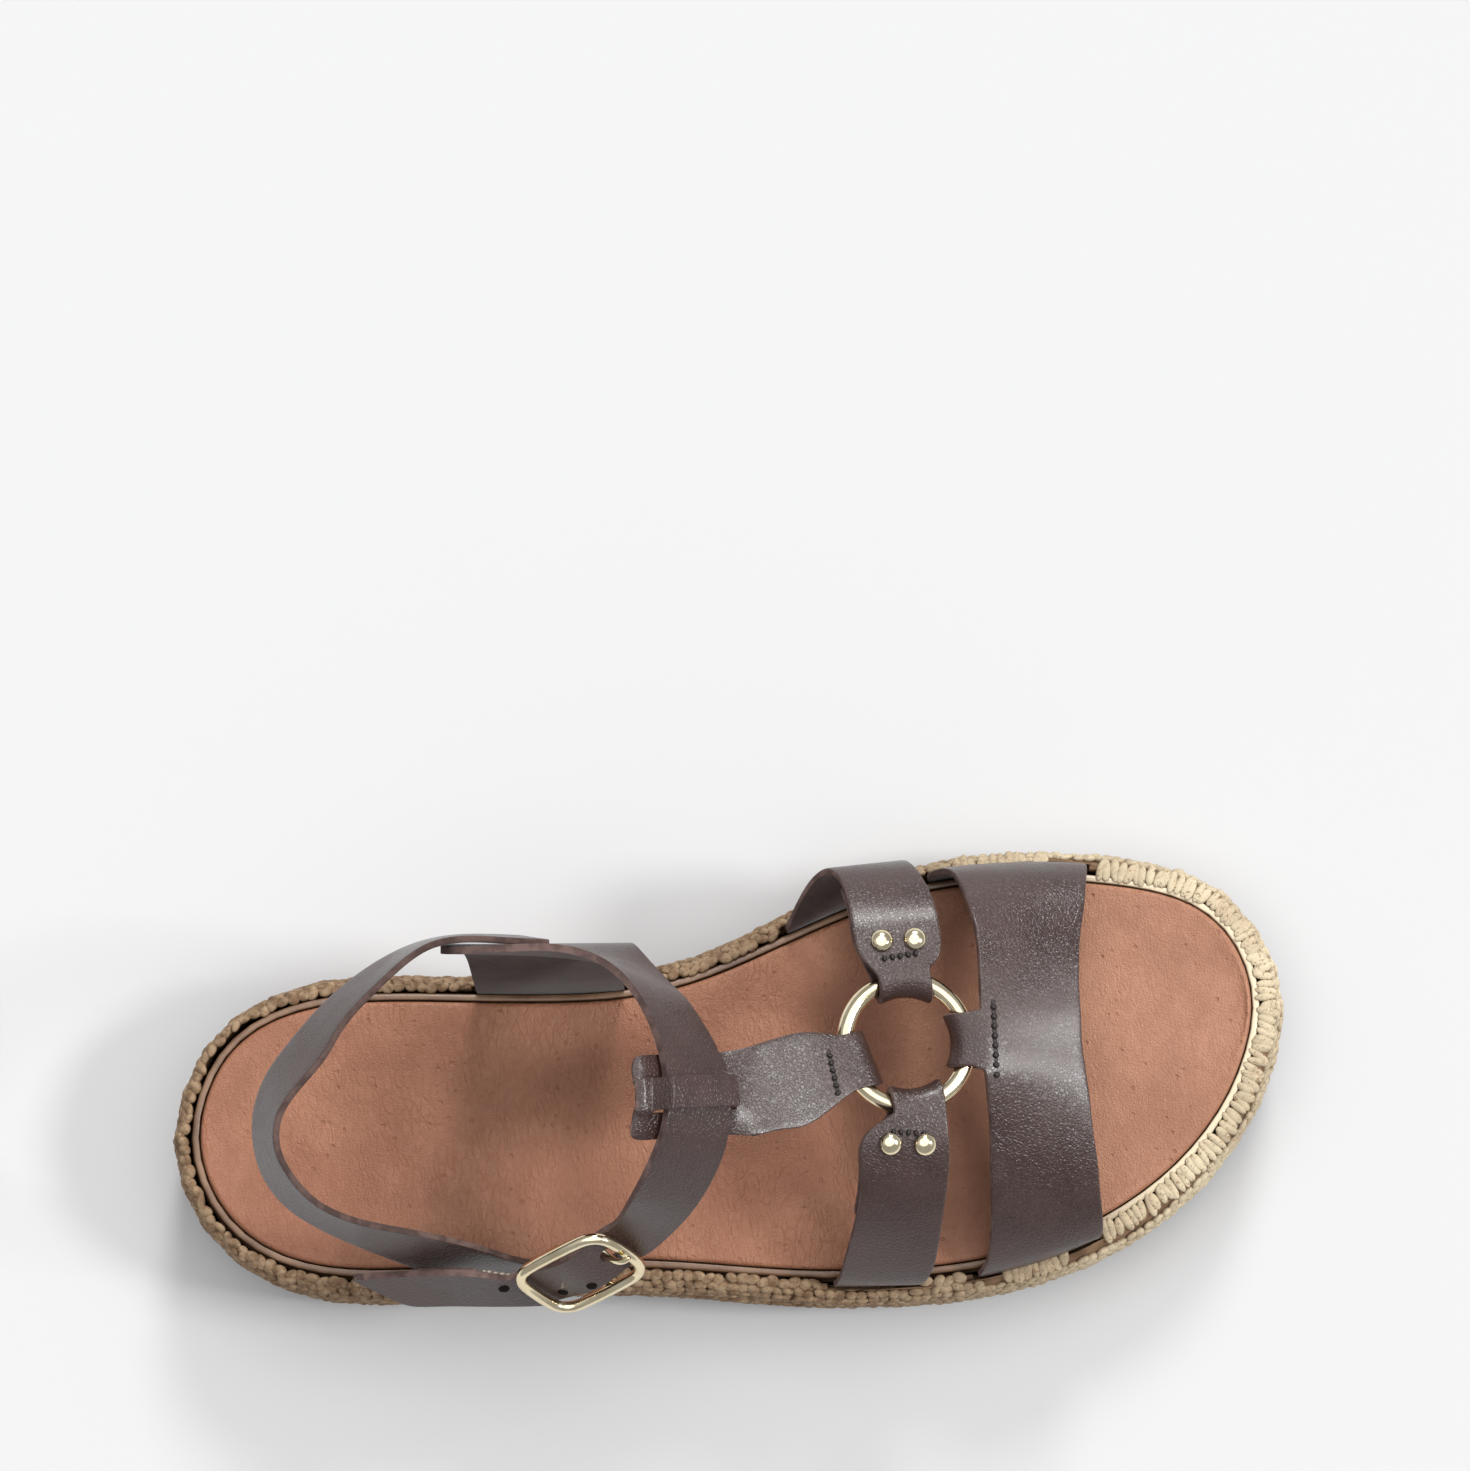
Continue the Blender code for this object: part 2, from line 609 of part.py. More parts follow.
def sheet(name, rows, thickness, finish, left_out=(), collection=PARTS):
    """Leather or tape: an open grid of faces with Solidify. None marks no point."""
    builder = bmesh.new()
    grid = [[builder.verts.new(p) if p is not None else None for p in row] for row in rows]
    for index in range(len(rows) - 1):
        for column in range(len(rows[0]) - 1):
            corners = (
                grid[index][column], grid[index + 1][column],
                grid[index + 1][column + 1], grid[index][column + 1],
            )
            if None in corners or (index, column) in left_out:
                continue
            builder.faces.new(corners)
    thing = mesh_object(name, builder, finish, collection)
    wall = thing.modifiers.new("wall", "SOLIDIFY")
    wall.thickness = thickness
    wall.offset = 0.0
    wall.use_even_offset = True
    wall.use_quality_normals = True
    return thing


def cut(thing, cutter, operation="DIFFERENCE"):
    """Boolean of a piece with a cutter or with a shape that joins it."""
    boolean = thing.modifiers.new(cutter.name, "BOOLEAN")
    boolean.operation = operation
    boolean.solver = "EXACT"
    boolean.object = cutter


def cut_pocket(thing, base):
    """Pocket in the jute where a strap goes down beside the rim."""
    rows = tuck_rows(base, (-STRAP_TUCK - GAP, STRAP_CLEAR + 0.004), 8, widen=GAP * 4)
    name = "pocket_{}_{:03d}".format(base[0], round(base[1] * 1000))
    pocket = sheet(name, rows, LEATHER + 4 * GAP, "core", collection=CUTTERS)
    cut(thing, pocket)


def ring_frame():
    """Centre of the ring with its forward, medial and upward directions."""
    forward = Vector((math.cos(RING_TILT), 0.0, -math.sin(RING_TILT)))
    medial = Vector((0.0, 1.0, 0.0))
    return place(*RING_PLACE), forward, medial, forward.cross(medial)


def ring_point(angle, radius, height, aside=0.0):
    """Point near the ring from a direction, a radius, a height and a shift aside."""
    centre, forward, medial, up = ring_frame()
    outward = forward * math.cos(angle) + medial * math.sin(angle)
    tangent = medial * math.cos(angle) - forward * math.sin(angle)
    return centre + outward * radius + up * height + tangent * aside


def loop_rows(angle, width, columns, flip, shift=0.0):
    """Rows of a strap's loop: over the wire, round it inside the ring and back below."""
    turn = RING_WIRE / 2 + GAP * LOOP_SLACK + LEATHER / 2
    path = [(RING_WIRE * LOOP_OPENING, turn, 0.0), (RING_WIRE * LOOP_CLOSING, turn, 1.0)]
    for step in range(LOOP_STEPS + 1):
        bend = math.pi / 2 + math.pi * step / LOOP_STEPS
        path.append((turn * math.cos(bend), turn * math.sin(bend), 1.0))
    path.append((RING_WIRE * LOOP_OPENING, -turn, 0.0))
    rows = []
    for reach, height, follow in path:
        row = []
        for column in range(columns + 1):
            aside = width * (0.5 - column / columns) * (-1.0 if flip else 1.0) + shift
            depth = math.sqrt(RING_RADIUS ** 2 - aside ** 2)
            along_ring = depth + reach * RING_RADIUS / depth
            radius = (RING_RADIUS + reach) * (1.0 - follow) + along_ring * follow
            row.append(ring_point(angle, radius, height, aside))
        rows.append(row)
    return rows


def folded_strap(name, table, base, angle, shift, flip):
    """Strap from the channel over the foot, round the ring and back under itself."""
    columns = 4
    tuck = tuck_rows(base, (-STRAP_TUCK, -STRAP_TUCK / 2, STRAP_CLEAR), columns)
    free = bulged(edge_rows(table, columns), tuck[-1], 3)
    loop = loop_rows(angle, STRAP_LOOP_WIDTH, columns, flip, shift)
    top = smooth_rows(tuck[1:] + free + loop[:1], 2)
    lap = lowered_rows(top, LAYER_STEP + GAP)[-LAP_ROWS - LAP_START:-LAP_START][::-1]
    rows = tuck[:1] + top + loop[1:] + lap
    sheet(name, rows, LEATHER, "brown_leather")
    return top


def build_front_straps():
    """Toe strap with its tab, and the two straps that fold round the ring."""
    columns = 5
    heights = (-STRAP_TUCK, -STRAP_TUCK / 2, STRAP_CLEAR)
    medial = tuck_rows(TOE_STRAP_MEDIAL, heights, columns)
    lateral = tuck_rows(TOE_STRAP_LATERAL, heights, columns, reverse=True)
    free = edge_rows(TOE_STRAP, columns)
    bulged(free, medial[-1], 4)
    bulged(free, lateral[0], 4, from_end=True)
    rows = smooth_rows(medial + free + lateral, 2)
    lower = lowered_rows(rows, LAYER_STEP + GAP)
    loop = loop_rows(TAB_ANGLE, STRAP_LOOP_WIDTH, TAB_END - TAB_START, False)[1:]
    lap = []
    for share in TAB_LAP:
        column = columns * share
        low = int(column)
        lap.append([
            row[low].lerp(row[low + 1], column - low) for row in lower[TAB_START:TAB_END + 1]
        ])
    wide = []
    extra = [*loop, *lap]
    for index, row in enumerate(rows):
        if TAB_START <= index <= TAB_END:
            own = [line[index - TAB_START] for line in extra][::-1]
        else:
            own = [None] * len(extra)
        wide.append(own + row)
    sheet("toe_strap", wide, LEATHER, "brown_leather")
    medial_top = folded_strap(
        "medial_strap", MEDIAL_STRAP, MEDIAL_STRAP_BASE, MEDIAL_ANGLE, MEDIAL_SHIFT, False)
    lateral_top = folded_strap(
        "lateral_strap", LATERAL_STRAP, LATERAL_STRAP_BASE, LATERAL_ANGLE, LATERAL_SHIFT, True)
    return medial_top, lateral_top


def buckle_point(forward, aside, height):
    """Point in the buckle's frame: along the strap, across it and out from its face."""
    along = BUCKLE_ALONG.normalized()
    across = (BUCKLE_ACROSS - along * along.dot(BUCKLE_ACROSS)).normalized()
    outward = across.cross(along)
    return place(*BUCKLE_PLACE) + along * forward + across * aside + outward * height


def bar_places():
    """Distance of the end bars and of the side bars from the buckle's middle."""
    return (BUCKLE_LENGTH - BUCKLE_WIRE) / 2, (BUCKLE_WIDTH - BUCKLE_WIRE) / 2


def buckle_rows(columns):
    """Rows of the ankle strap under the end bars and over the centre bar."""
    end_bar = bar_places()[0]
    under = -(BUCKLE_WIRE / 2 + GAP + LEATHER / 2)
    over = ELASTIC_THICKNESS + 3 * GAP + CENTRE_BAR / 2 - CENTRE_BAR_DROP + LEATHER / 2
    rows = []
    for share, height in ((1.24, under), (1.0, under), (0.5, (under + over) / 2), (0.0, over),
                          (-0.5, (under + over) / 2), (-1.0, under), (-1.24, under)):
        row = []
        for column in range(columns + 1):
            aside = STRAP_END_WIDTH * (column / columns - 0.5)
            row.append(buckle_point(end_bar * share, aside, height))
        rows.append(row)
    return rows


def build_ankle_strap():
    """Medial quarter, band over the instep and free end, in one piece of leather."""
    columns = 3
    heights = (-STRAP_TUCK, -STRAP_TUCK / 2, STRAP_CLEAR)
    tuck = tuck_rows(ANKLE_STRAP_BASE, heights, columns)
    free = bulged(edge_rows(ANKLE_STRAP, columns), tuck[-1], 2)
    end = edge_rows(ANKLE_STRAP_END, columns)
    rows = smooth_rows(tuck + free + buckle_rows(columns) + end, 2)
    strap = sheet("ankle_strap", rows, LEATHER, "brown_leather")
    radius = PRONG_HOLE / 2
    builder = bmesh.new()
    bmesh.ops.create_cone(
        builder, cap_ends=True, segments=16, radius1=radius, radius2=radius, depth=0.012)
    hole = mesh_object("prong_hole", builder, "core", CUTTERS)
    along = BUCKLE_ALONG.normalized()
    outward = (buckle_point(0, 0, 1) - buckle_point(0, 0, 0)).normalized()
    axes = Matrix((along, outward.cross(along), outward)).transposed()
    middle = buckle_point(bar_places()[0] * 0.67, 0.0, -LEATHER)
    hole.matrix_world = Matrix.Translation(middle) @ axes.to_4x4()
    cut(strap, hole)
    return rows


def build_heel_strap():
    """Slack strap round the heel, from the lateral channel to under the ankle strap."""
    columns = 3
    heights = (-STRAP_TUCK, -STRAP_TUCK / 2, STRAP_CLEAR)
    tuck = tuck_rows(HEEL_STRAP_BASE, heights, columns)
    free = bulged(edge_rows(HEEL_STRAP, columns), tuck[-1], 2)
    sheet("heel_strap", smooth_rows(tuck + free, 2), LEATHER, "brown_leather")


def strap_edges_at(rows, y):
    """Edges of the ankle strap over the instep where it crosses a line of given y."""
    found = []
    for column in (0, len(rows[0]) - 1):
        for low, high in zip(rows[INSTEP_ROW:], rows[INSTEP_ROW + 1:]):
            start, end = low[column], high[column]
            if (start.y - y) * (end.y - y) <= 0.0 and start.y != end.y:
                found.append(start.lerp(end, (y - start.y) / (end.y - start.y)))
                break
    return found


def build_t_bar(ankle_rows):
    """Bar from the ring to the ankle strap, slit twice so that the strap runs through."""
    centre_y = (T_BAR[0][1] + T_BAR[0][4]) / 2 * BALL_WIDTH
    lane_height = LAYER_STEP + 2 * GAP
    woven = []
    for station, lift, sag, narrowing in WOVEN_ROWS:
        row = []
        for share in T_BAR_LANES:
            y = centre_y + (T_BAR_WIDTH - narrowing) * (0.5 - share)
            upper, lower = strap_edges_at(ankle_rows, y)
            slope = (lower - upper)
            outward = Vector((-slope.z, 0.0, slope.x)).normalized()
            middle = T_BAR_LANES[SLIT_LANES[0]] < share < T_BAR_LANES[SLIT_LANES[1] + 1]
            height = (2.0 * lift - 1.0) if middle else -1.0
            point = upper + slope * station + outward * (height * lane_height - sag)
            row.append(point)
        woven.append(row)
    free = []
    for values in T_BAR:
        left, right = place(*values[:3]), place(*values[3:])
        free.append([left.lerp(right, share) for share in T_BAR_LANES])
    loop = []
    for row in loop_rows(T_BAR_ANGLE, T_BAR_LOOP_WIDTH, 1, True, T_BAR_SHIFT):
        loop.append([row[0].lerp(row[1], share) for share in T_BAR_LANES])
    front = smooth_rows([woven[-1], *free, loop[0]], 2)[1:]
    lap = lowered_rows(front, LAYER_STEP + GAP)[-T_BAR_LAP_ROWS - LAP_START:-LAP_START][::-1]
    rows = woven + front + loop[1:] + lap
    slits = set()
    for index in range(SLIT_START, len(WOVEN_ROWS) - 1):
        slits.update((index, lane) for lane in SLIT_LANES)
    sheet("t_bar", rows, LEATHER, "brown_leather", left_out=slits)


def build_ring():
    """Round wire ring lying on the forefoot."""
    bpy.ops.mesh.primitive_torus_add(
        major_segments=28, minor_segments=8, major_radius=RING_RADIUS,
        minor_radius=RING_WIRE / 2)
    ring = bpy.context.object
    ring.name = "ring"
    for holder in list(ring.users_collection):
        holder.objects.unlink(ring)
    bpy.data.collections[PARTS].objects.link(ring)
    ring.data.materials.append(finish_material("ring", *FINISHES["pale_gold"]))
    ring.data.shade_smooth()
    ring.location = place(*RING_PLACE)
    ring.rotation_euler = (0.0, RING_TILT, 0.0)


def build_studs(medial_top, lateral_top):
    """Four domed studs that hold the folded straps, two on each."""
    sides_and_shares = (
        ("medial", medial_top, (0.31, 0.69)), ("lateral", lateral_top, (0.33, 0.72)))
    for side, rows, shares in sides_and_shares:
        normals = row_normals(rows)
        index = len(rows) - 4
        for number, share in enumerate(shares, 1):
            column = share * (len(rows[0]) - 1)
            low = int(column)
            point = rows[index][low].lerp(rows[index][low + 1], column - low)
            outward = normals[index][low].lerp(normals[index][low + 1], column - low)
            outward = outward.normalized()
            if outward.z < 0.0:
                outward.negate()
            builder = bmesh.new()
            bmesh.ops.create_uvsphere(builder, u_segments=10, v_segments=6, radius=1.0)
            bmesh.ops.bisect_plane(
                builder, geom=builder.verts[:] + builder.edges[:] + builder.faces[:],
                plane_co=(0, 0, 0), plane_no=(0, 0, 1), clear_inner=True)
            rim = [edge for edge in builder.edges if edge.is_boundary]
            bmesh.ops.contextual_create(builder, geom=rim)
            stretch = (STUD_DIAMETER / 2, STUD_DIAMETER / 2, STUD_HEIGHT)
            bmesh.ops.scale(builder, vec=stretch, verts=builder.verts[:])
            bmesh.ops.recalc_face_normals(builder, faces=builder.faces[:])
            stud = mesh_object("stud_{}_{}".format(side, number), builder, "pale_gold")
            stud.location = point + outward * (LEATHER / 2 + GAP)
            stud.rotation_mode = "QUATERNION"
            stud.rotation_quaternion = outward.to_track_quat("Z", "Y")


def wire_mesh(name, points, diameter, closed, finish, collection=PARTS):
    """Round wire along points, made a closed mesh."""
    curve = bpy.data.curves.new(name + "_curve", "CURVE")
    curve.dimensions = "3D"
    curve.bevel_depth = diameter / 2
    curve.bevel_resolution = 2
    curve.use_fill_caps = not closed
    spline = curve.splines.new("POLY")
    spline.points.add(len(points) - 1)
    for target, point in zip(spline.points, points):
        target.co = (*point, 1.0)
    spline.use_cyclic_u = closed
    holder = bpy.data.objects.new(name + "_curve", curve)
    bpy.data.collections[CUTTERS].objects.link(holder)
    bpy.context.view_layer.update()
    graph = bpy.context.evaluated_depsgraph_get()
    data = bpy.data.meshes.new_from_object(holder.evaluated_get(graph))
    builder = bmesh.new()
    builder.from_mesh(data)
    bmesh.ops.remove_doubles(builder, verts=builder.verts[:], dist=0.00001)
    bmesh.ops.recalc_face_normals(builder, faces=builder.faces[:])
    bpy.data.objects.remove(holder)
    bpy.data.meshes.remove(data)
    return mesh_object(name, builder, finish, collection)


def build_buckle():
    """Frame with its centre bar, and the prong that lies on the front bar."""
    end_bar, side_bar = bar_places()
    corner = BUCKLE_CORNER
    frame_points = []
    for quarter in range(4):
        across_sign = (1, 1, -1, -1)[quarter]
        along_sign = (1, -1, -1, 1)[quarter]
        for step in range(5):
            turn = math.pi / 2 * (quarter + step / 4)
            aside = across_sign * (side_bar - corner) + corner * math.sin(turn)
            forward = along_sign * (end_bar - corner) + corner * math.cos(turn)
            frame_points.append(buckle_point(forward, aside, 0.0))
    frame = wire_mesh("buckle_frame", frame_points, BUCKLE_WIRE, True, "pale_gold")
    drop = -CENTRE_BAR_DROP
    bar_points = [
        buckle_point(0.0, side * side_bar * share, height)
        for side, share, height in ((-1, 1.0, 0.0), (-1, 0.93, drop), (1, 0.93, drop), (1, 1.0, 0.0))
    ]
    bar = wire_mesh("centre_bar", bar_points, CENTRE_BAR, False, "pale_gold", CUTTERS)
    cut(frame, bar, "UNION")
    turn = CENTRE_BAR / 2 + PRONG_WIRE / 2 + GAP
    over = BUCKLE_WIRE / 2 + PRONG_WIRE / 2 + GAP
    path = []
    for degrees in (130, 160, 190, 220, 250, 280, 310, 340):
        angle = math.radians(degrees)
        path.append((turn * math.cos(angle), drop + turn * math.sin(angle)))
    path += [(end_bar * reach, drop * low + over * high) for reach, low, high in PRONG_ROWS]
    points = [buckle_point(forward, 0.0, height) for forward, height in path]
    wire_mesh("buckle_prong", points, PRONG_WIRE, False, "pale_gold")


def build_elastic(ankle_rows):
    """Elastic from the leather tab on the heel strap to the centre bar."""
    start = len(ankle_rows) - 1 - 2 * len(ANKLE_STRAP_END)
    inward = LEATHER / 2 + GAP + ELASTIC_THICKNESS / 2
    lanes = (0.0, 0.18, 0.34, 0.66, 0.82, 1.0)
    share = ELASTIC_WIDTH / STRAP_END_WIDTH
    parallel = lowered_rows(ankle_rows, inward)

    def lane_row(row):
        """Row narrowed to the elastic's width."""
        left, right = row[0], row[-1]
        middle = left.lerp(right, 0.5)
        left, right = middle.lerp(left, share), middle.lerp(right, share)
        return [left.lerp(right, lane) for lane in lanes]

    turn = CENTRE_BAR / 2 + GAP + ELASTIC_THICKNESS / 2
    loop = []
    path = [(-turn * 1.1, turn * 0.86)]
    for degrees in (90, 60, 20, -20, -60, -90):
        angle = math.radians(degrees)
        path.append((turn * math.cos(angle), turn * math.sin(angle)))
    path.append((-turn * 1.4, -turn * 1.02))
    for forward, height in path[::-1]:
        loop.append([
            buckle_point(forward, ELASTIC_WIDTH * (lane - 0.5), height - CENTRE_BAR_DROP)
            for lane in lanes
        ])
    back = [lane_row(row) for row in parallel[start - 3:start + 3]]
    rows = loop + back
    open_lane = {(index, 2) for index in range(len(loop))}
    sheet("elastic_band", rows, ELASTIC_THICKNESS, "elastic", left_out=open_lane)
    tab = [lane_row(row) for row in parallel[start + 3:start + 7]]
    shift = (tab[1][0] - tab[0][0]).normalized() * GAP * 2
    tab[0] = [back[-1][index] + shift for index in range(len(lanes))]
    sheet("elastic_tab", tab, ELASTIC_THICKNESS, "brown_leather")


def centre_parts():
    """Move every piece so that the origin is under the middle of the sole."""
    moved = moved_outline(sole_spread)
    middle_x = (min(p.x for p in moved) + max(p.x for p in moved)) / 2
    middle_y = (min(p.y for p in moved) + max(p.y for p in moved)) / 2
    shift = Vector((-middle_x, -middle_y, 0.0))
    for collection in (PARTS, CUTTERS):
        for thing in bpy.data.collections[collection].objects:
            thing.location = thing.location + shift


def main():
    """Build the sandal from the ground up."""
    clear_scene()
    build_sole()
    medial_top, lateral_top = build_front_straps()
    ankle_rows = build_ankle_strap()
    build_heel_strap()
    build_t_bar(ankle_rows)
    build_ring()
    build_studs(medial_top, lateral_top)
    build_buckle()
    build_elastic(ankle_rows)
    centre_parts()


main()
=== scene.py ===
"""Looks of the leather sandal: straps, insole, braided jute, metal parts, floor and light."""
import logging
import math
from dataclasses import dataclass, field
from enum import Enum
from random import Random

import bmesh
import bpy
from mathutils import Matrix, Vector
from mathutils.bvhtree import BVHTree


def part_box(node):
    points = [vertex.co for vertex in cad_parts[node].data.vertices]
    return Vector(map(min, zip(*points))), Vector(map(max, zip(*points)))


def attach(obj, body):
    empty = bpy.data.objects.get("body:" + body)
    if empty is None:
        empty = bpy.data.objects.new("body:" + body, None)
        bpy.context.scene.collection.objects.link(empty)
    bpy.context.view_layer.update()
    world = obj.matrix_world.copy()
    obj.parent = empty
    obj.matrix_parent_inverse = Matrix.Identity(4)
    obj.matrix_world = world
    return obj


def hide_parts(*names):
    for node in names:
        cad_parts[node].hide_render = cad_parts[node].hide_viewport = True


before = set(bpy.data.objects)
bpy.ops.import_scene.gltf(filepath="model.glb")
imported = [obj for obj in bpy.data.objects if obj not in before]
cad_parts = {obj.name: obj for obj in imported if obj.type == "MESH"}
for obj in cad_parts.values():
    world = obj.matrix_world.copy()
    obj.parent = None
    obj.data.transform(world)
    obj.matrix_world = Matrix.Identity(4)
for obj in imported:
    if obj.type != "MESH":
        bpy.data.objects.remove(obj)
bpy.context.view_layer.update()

BODY = "root"
MERGE = 0.00001
CROWN = "crown"
Colour = tuple[float, float, float]
Range = tuple[float, ...]
Socket = bpy.types.NodeSocket
Node = bpy.types.Node
Material = bpy.types.Material
Shape = bmesh.types.BMesh
log = logging.getLogger("sandal")


class Zone(Enum):
    """Faces of a strap by what shows there; the value is the material slot."""

    GRAIN = 0
    EDGE = 1
    SUEDE = 2


class Braid(Enum):
    """How a row of the jute is braided."""

    PLEATS = "pleats"
    PLAIT = "plait"


class Graph:
    """Short way to add and join the nodes of a material or a node group."""

    def __init__(self, tree: bpy.types.NodeTree) -> None:
        """Keep the node tree of a material or of a group."""
        self.tree = tree

    def add(self, kind: str, sockets: dict | None = None, **settings: object) -> Node:
        """Add a node.

        Args:
            kind: Blender's name of the node type.
            sockets: input values or output sockets to join, by input name or number.
            settings: properties of the node.

        Returns:
            The new node.
        """
        node = self.tree.nodes.new(kind)
        for key, value in settings.items():
            setattr(node, key, value)
        for key, value in (sockets or {}).items():
            if isinstance(value, Socket):
                self.tree.links.new(value, node.inputs[key])
            else:
                node.inputs[key].default_value = value
        return node

    def math(self, operation: str, first: object, second: object) -> Socket:
        """Result of a Math node on two numbers or sockets."""
        return self.add("ShaderNodeMath", {0: first, 1: second}, operation=operation).outputs[0]

    def times(self, first: object, second: object) -> Socket:
        """Product of two numbers or sockets."""
        return self.math("MULTIPLY", first, second)

    def ramp(self, source: Socket, low: float, high: float,
             to_low: float = 0.0, to_high: float = 1.0) -> Socket:
        """Smooth step of a value between two limits.

        Args:
            source: value to map.
            low: value that gives to_low.
            high: value that gives to_high.
            to_low: result at low.
            to_high: result at high.

        Returns:
            The mapped value.
        """
        node = self.add("ShaderNodeMapRange", {
            "Value": source, "From Min": low, "From Max": high,
            "To Min": to_low, "To Max": to_high}, interpolation_type="SMOOTHSTEP")
        return node.outputs["Result"]

    def warped(self, vector: Socket, scale: object, reach: float,
               detail: float) -> Socket:
        """Coordinates pushed about by a noise.

        Args:
            vector: coordinates.
            scale: the noise's scale.
            reach: how far it pushes, in metres.
            detail: the noise's detail.

        Returns:
            The pushed coordinates.
        """
        noise = self.add("ShaderNodeTexNoise", {
            "Vector": vector, "Scale": scale, "Detail": detail})
        push = self.add("ShaderNodeVectorMath", {0: noise.outputs["Color"], "Scale": reach},
                        operation="SCALE")
        return self.add("ShaderNodeVectorMath", {0: vector, 1: push.outputs[0]},
                        operation="ADD").outputs[0]

    def blend(self, share: object, first: object, second: object,
              kind: str = "MIX") -> Socket:
        """Mix of two colours.

        Args:
            share: number or socket from 0 to 1.
            first: colour or socket at 0.
            second: colour or socket at 1.
            kind: blend type.

        Returns:
            The mixed colour.
        """
        node = self.add("ShaderNodeMix", {0: share}, data_type="RGBA", blend_type=kind)
        for index, value in ((6, first), (7, second)):
            if isinstance(value, Socket):
                self.tree.links.new(value, node.inputs[index])
            else:
                node.inputs[index].default_value = (*value[:3], 1.0)
        return node.outputs[2]


def new_group(name: str, inputs: dict[str, float], outputs: tuple[str, ...]
              ) -> tuple[bpy.types.NodeTree, Graph, Node, Node]:
    """Start a shader node group with a Vector input, number inputs and number outputs.

    Args:
        name: the group's name.
        inputs: names and default values of its number inputs.
        outputs: names of its number outputs.

    Returns:
        The group, its graph, its input node and its output node.
    """
    tree = bpy.data.node_groups.new(name, "ShaderNodeTree")
    tree.interface.new_socket("Vector", in_out="INPUT", socket_type="NodeSocketVector")
    for key, value in inputs.items():
        socket = tree.interface.new_socket(key, in_out="INPUT", socket_type="NodeSocketFloat")
        socket.default_value = value
    for key in outputs:
        tree.interface.new_socket(key, in_out="OUTPUT", socket_type="NodeSocketFloat")
    graph = Graph(tree)
    return tree, graph, graph.add("NodeGroupInput"), graph.add("NodeGroupOutput")


class Effects:
    """Node groups that several materials share."""

    warp_share: float = 0.7
    warp_reach: float = 0.0011
    pebble_edge: float = 0.30
    pebble_height: float = 0.60
    wave_share: float = 0.22
    wave_height: float = 1.0
    cloud_limits: Range = (0.32, 0.68)
    tangle_share: float = 0.2
    tangle_limits: Range = (0.35, 0.65)

    def __init__(self) -> None:
        """Build each group once."""
        self.pebble = self.pebble_grain()
        self.mottle = self.mottling()
        self.fibre = self.fibres()

    def pebble_grain(self) -> bpy.types.NodeTree:
        """Fine pebbled leather grain with low wrinkles.

        Returns:
            Group with Height, and Crease that is 1 in the lines between the pebbles.
        """
        tree, graph, start, end = new_group("pebble_grain", {"Scale": 900.0}, ("Height", "Crease"))
        vector = start.outputs["Vector"]
        scale = start.outputs["Scale"]
        moved = graph.warped(vector, graph.times(scale, self.warp_share),
                             self.warp_reach, 2.0)
        cells = graph.add("ShaderNodeTexVoronoi", {"Vector": moved, "Scale": scale},
                          feature="DISTANCE_TO_EDGE")
        dome = graph.ramp(cells.outputs["Distance"], 0.0, self.pebble_edge)
        wave = graph.add("ShaderNodeTexNoise", {
            "Vector": vector, "Scale": graph.times(scale, self.wave_share),
            "Detail": 4.0})
        height = graph.math("ADD", graph.times(dome, self.pebble_height),
                            graph.times(wave.outputs[0], self.wave_height))
        graph.tree.links.new(height, end.inputs["Height"])
        graph.tree.links.new(graph.math("SUBTRACT", 1.0, dome), end.inputs["Crease"])
        return tree

    def mottling(self) -> bpy.types.NodeTree:
        """Slow uneven tone over a surface.

        Returns:
            Group with Tone from 0 to 1.
        """
        tree, graph, start, end = new_group("mottling", {"Scale": 40.0}, ("Tone",))
        cloud = graph.add("ShaderNodeTexNoise", {
            "Vector": start.outputs["Vector"], "Scale": start.outputs["Scale"],
            "Detail": 5.0, "Roughness": 0.6})
        graph.tree.links.new(graph.ramp(cloud.outputs[0], *self.cloud_limits), end.inputs["Tone"])
        return tree

    def fibres(self) -> bpy.types.NodeTree:
        """Short tangled fibres, for cut edges, suede and foam.

        Returns:
            Group with Height and Tone.
        """
        tree, graph, start, end = new_group("fibres", {"Scale": 1200.0}, ("Height", "Tone"))
        vector = start.outputs["Vector"]
        fine = graph.add("ShaderNodeTexNoise", {
            "Vector": vector, "Scale": start.outputs["Scale"], "Detail": 5.0,
            "Roughness": 0.75, "Distortion": 0.8})
        coarse = graph.add("ShaderNodeTexNoise", {
            "Vector": vector,
            "Scale": graph.times(start.outputs["Scale"], self.tangle_share),
            "Detail": 3.0})
        graph.tree.links.new(fine.outputs[0], end.inputs["Height"])
        graph.tree.links.new(graph.ramp(coarse.outputs[0], *self.tangle_limits), end.inputs["Tone"])
        return tree


EFFECTS = Effects()


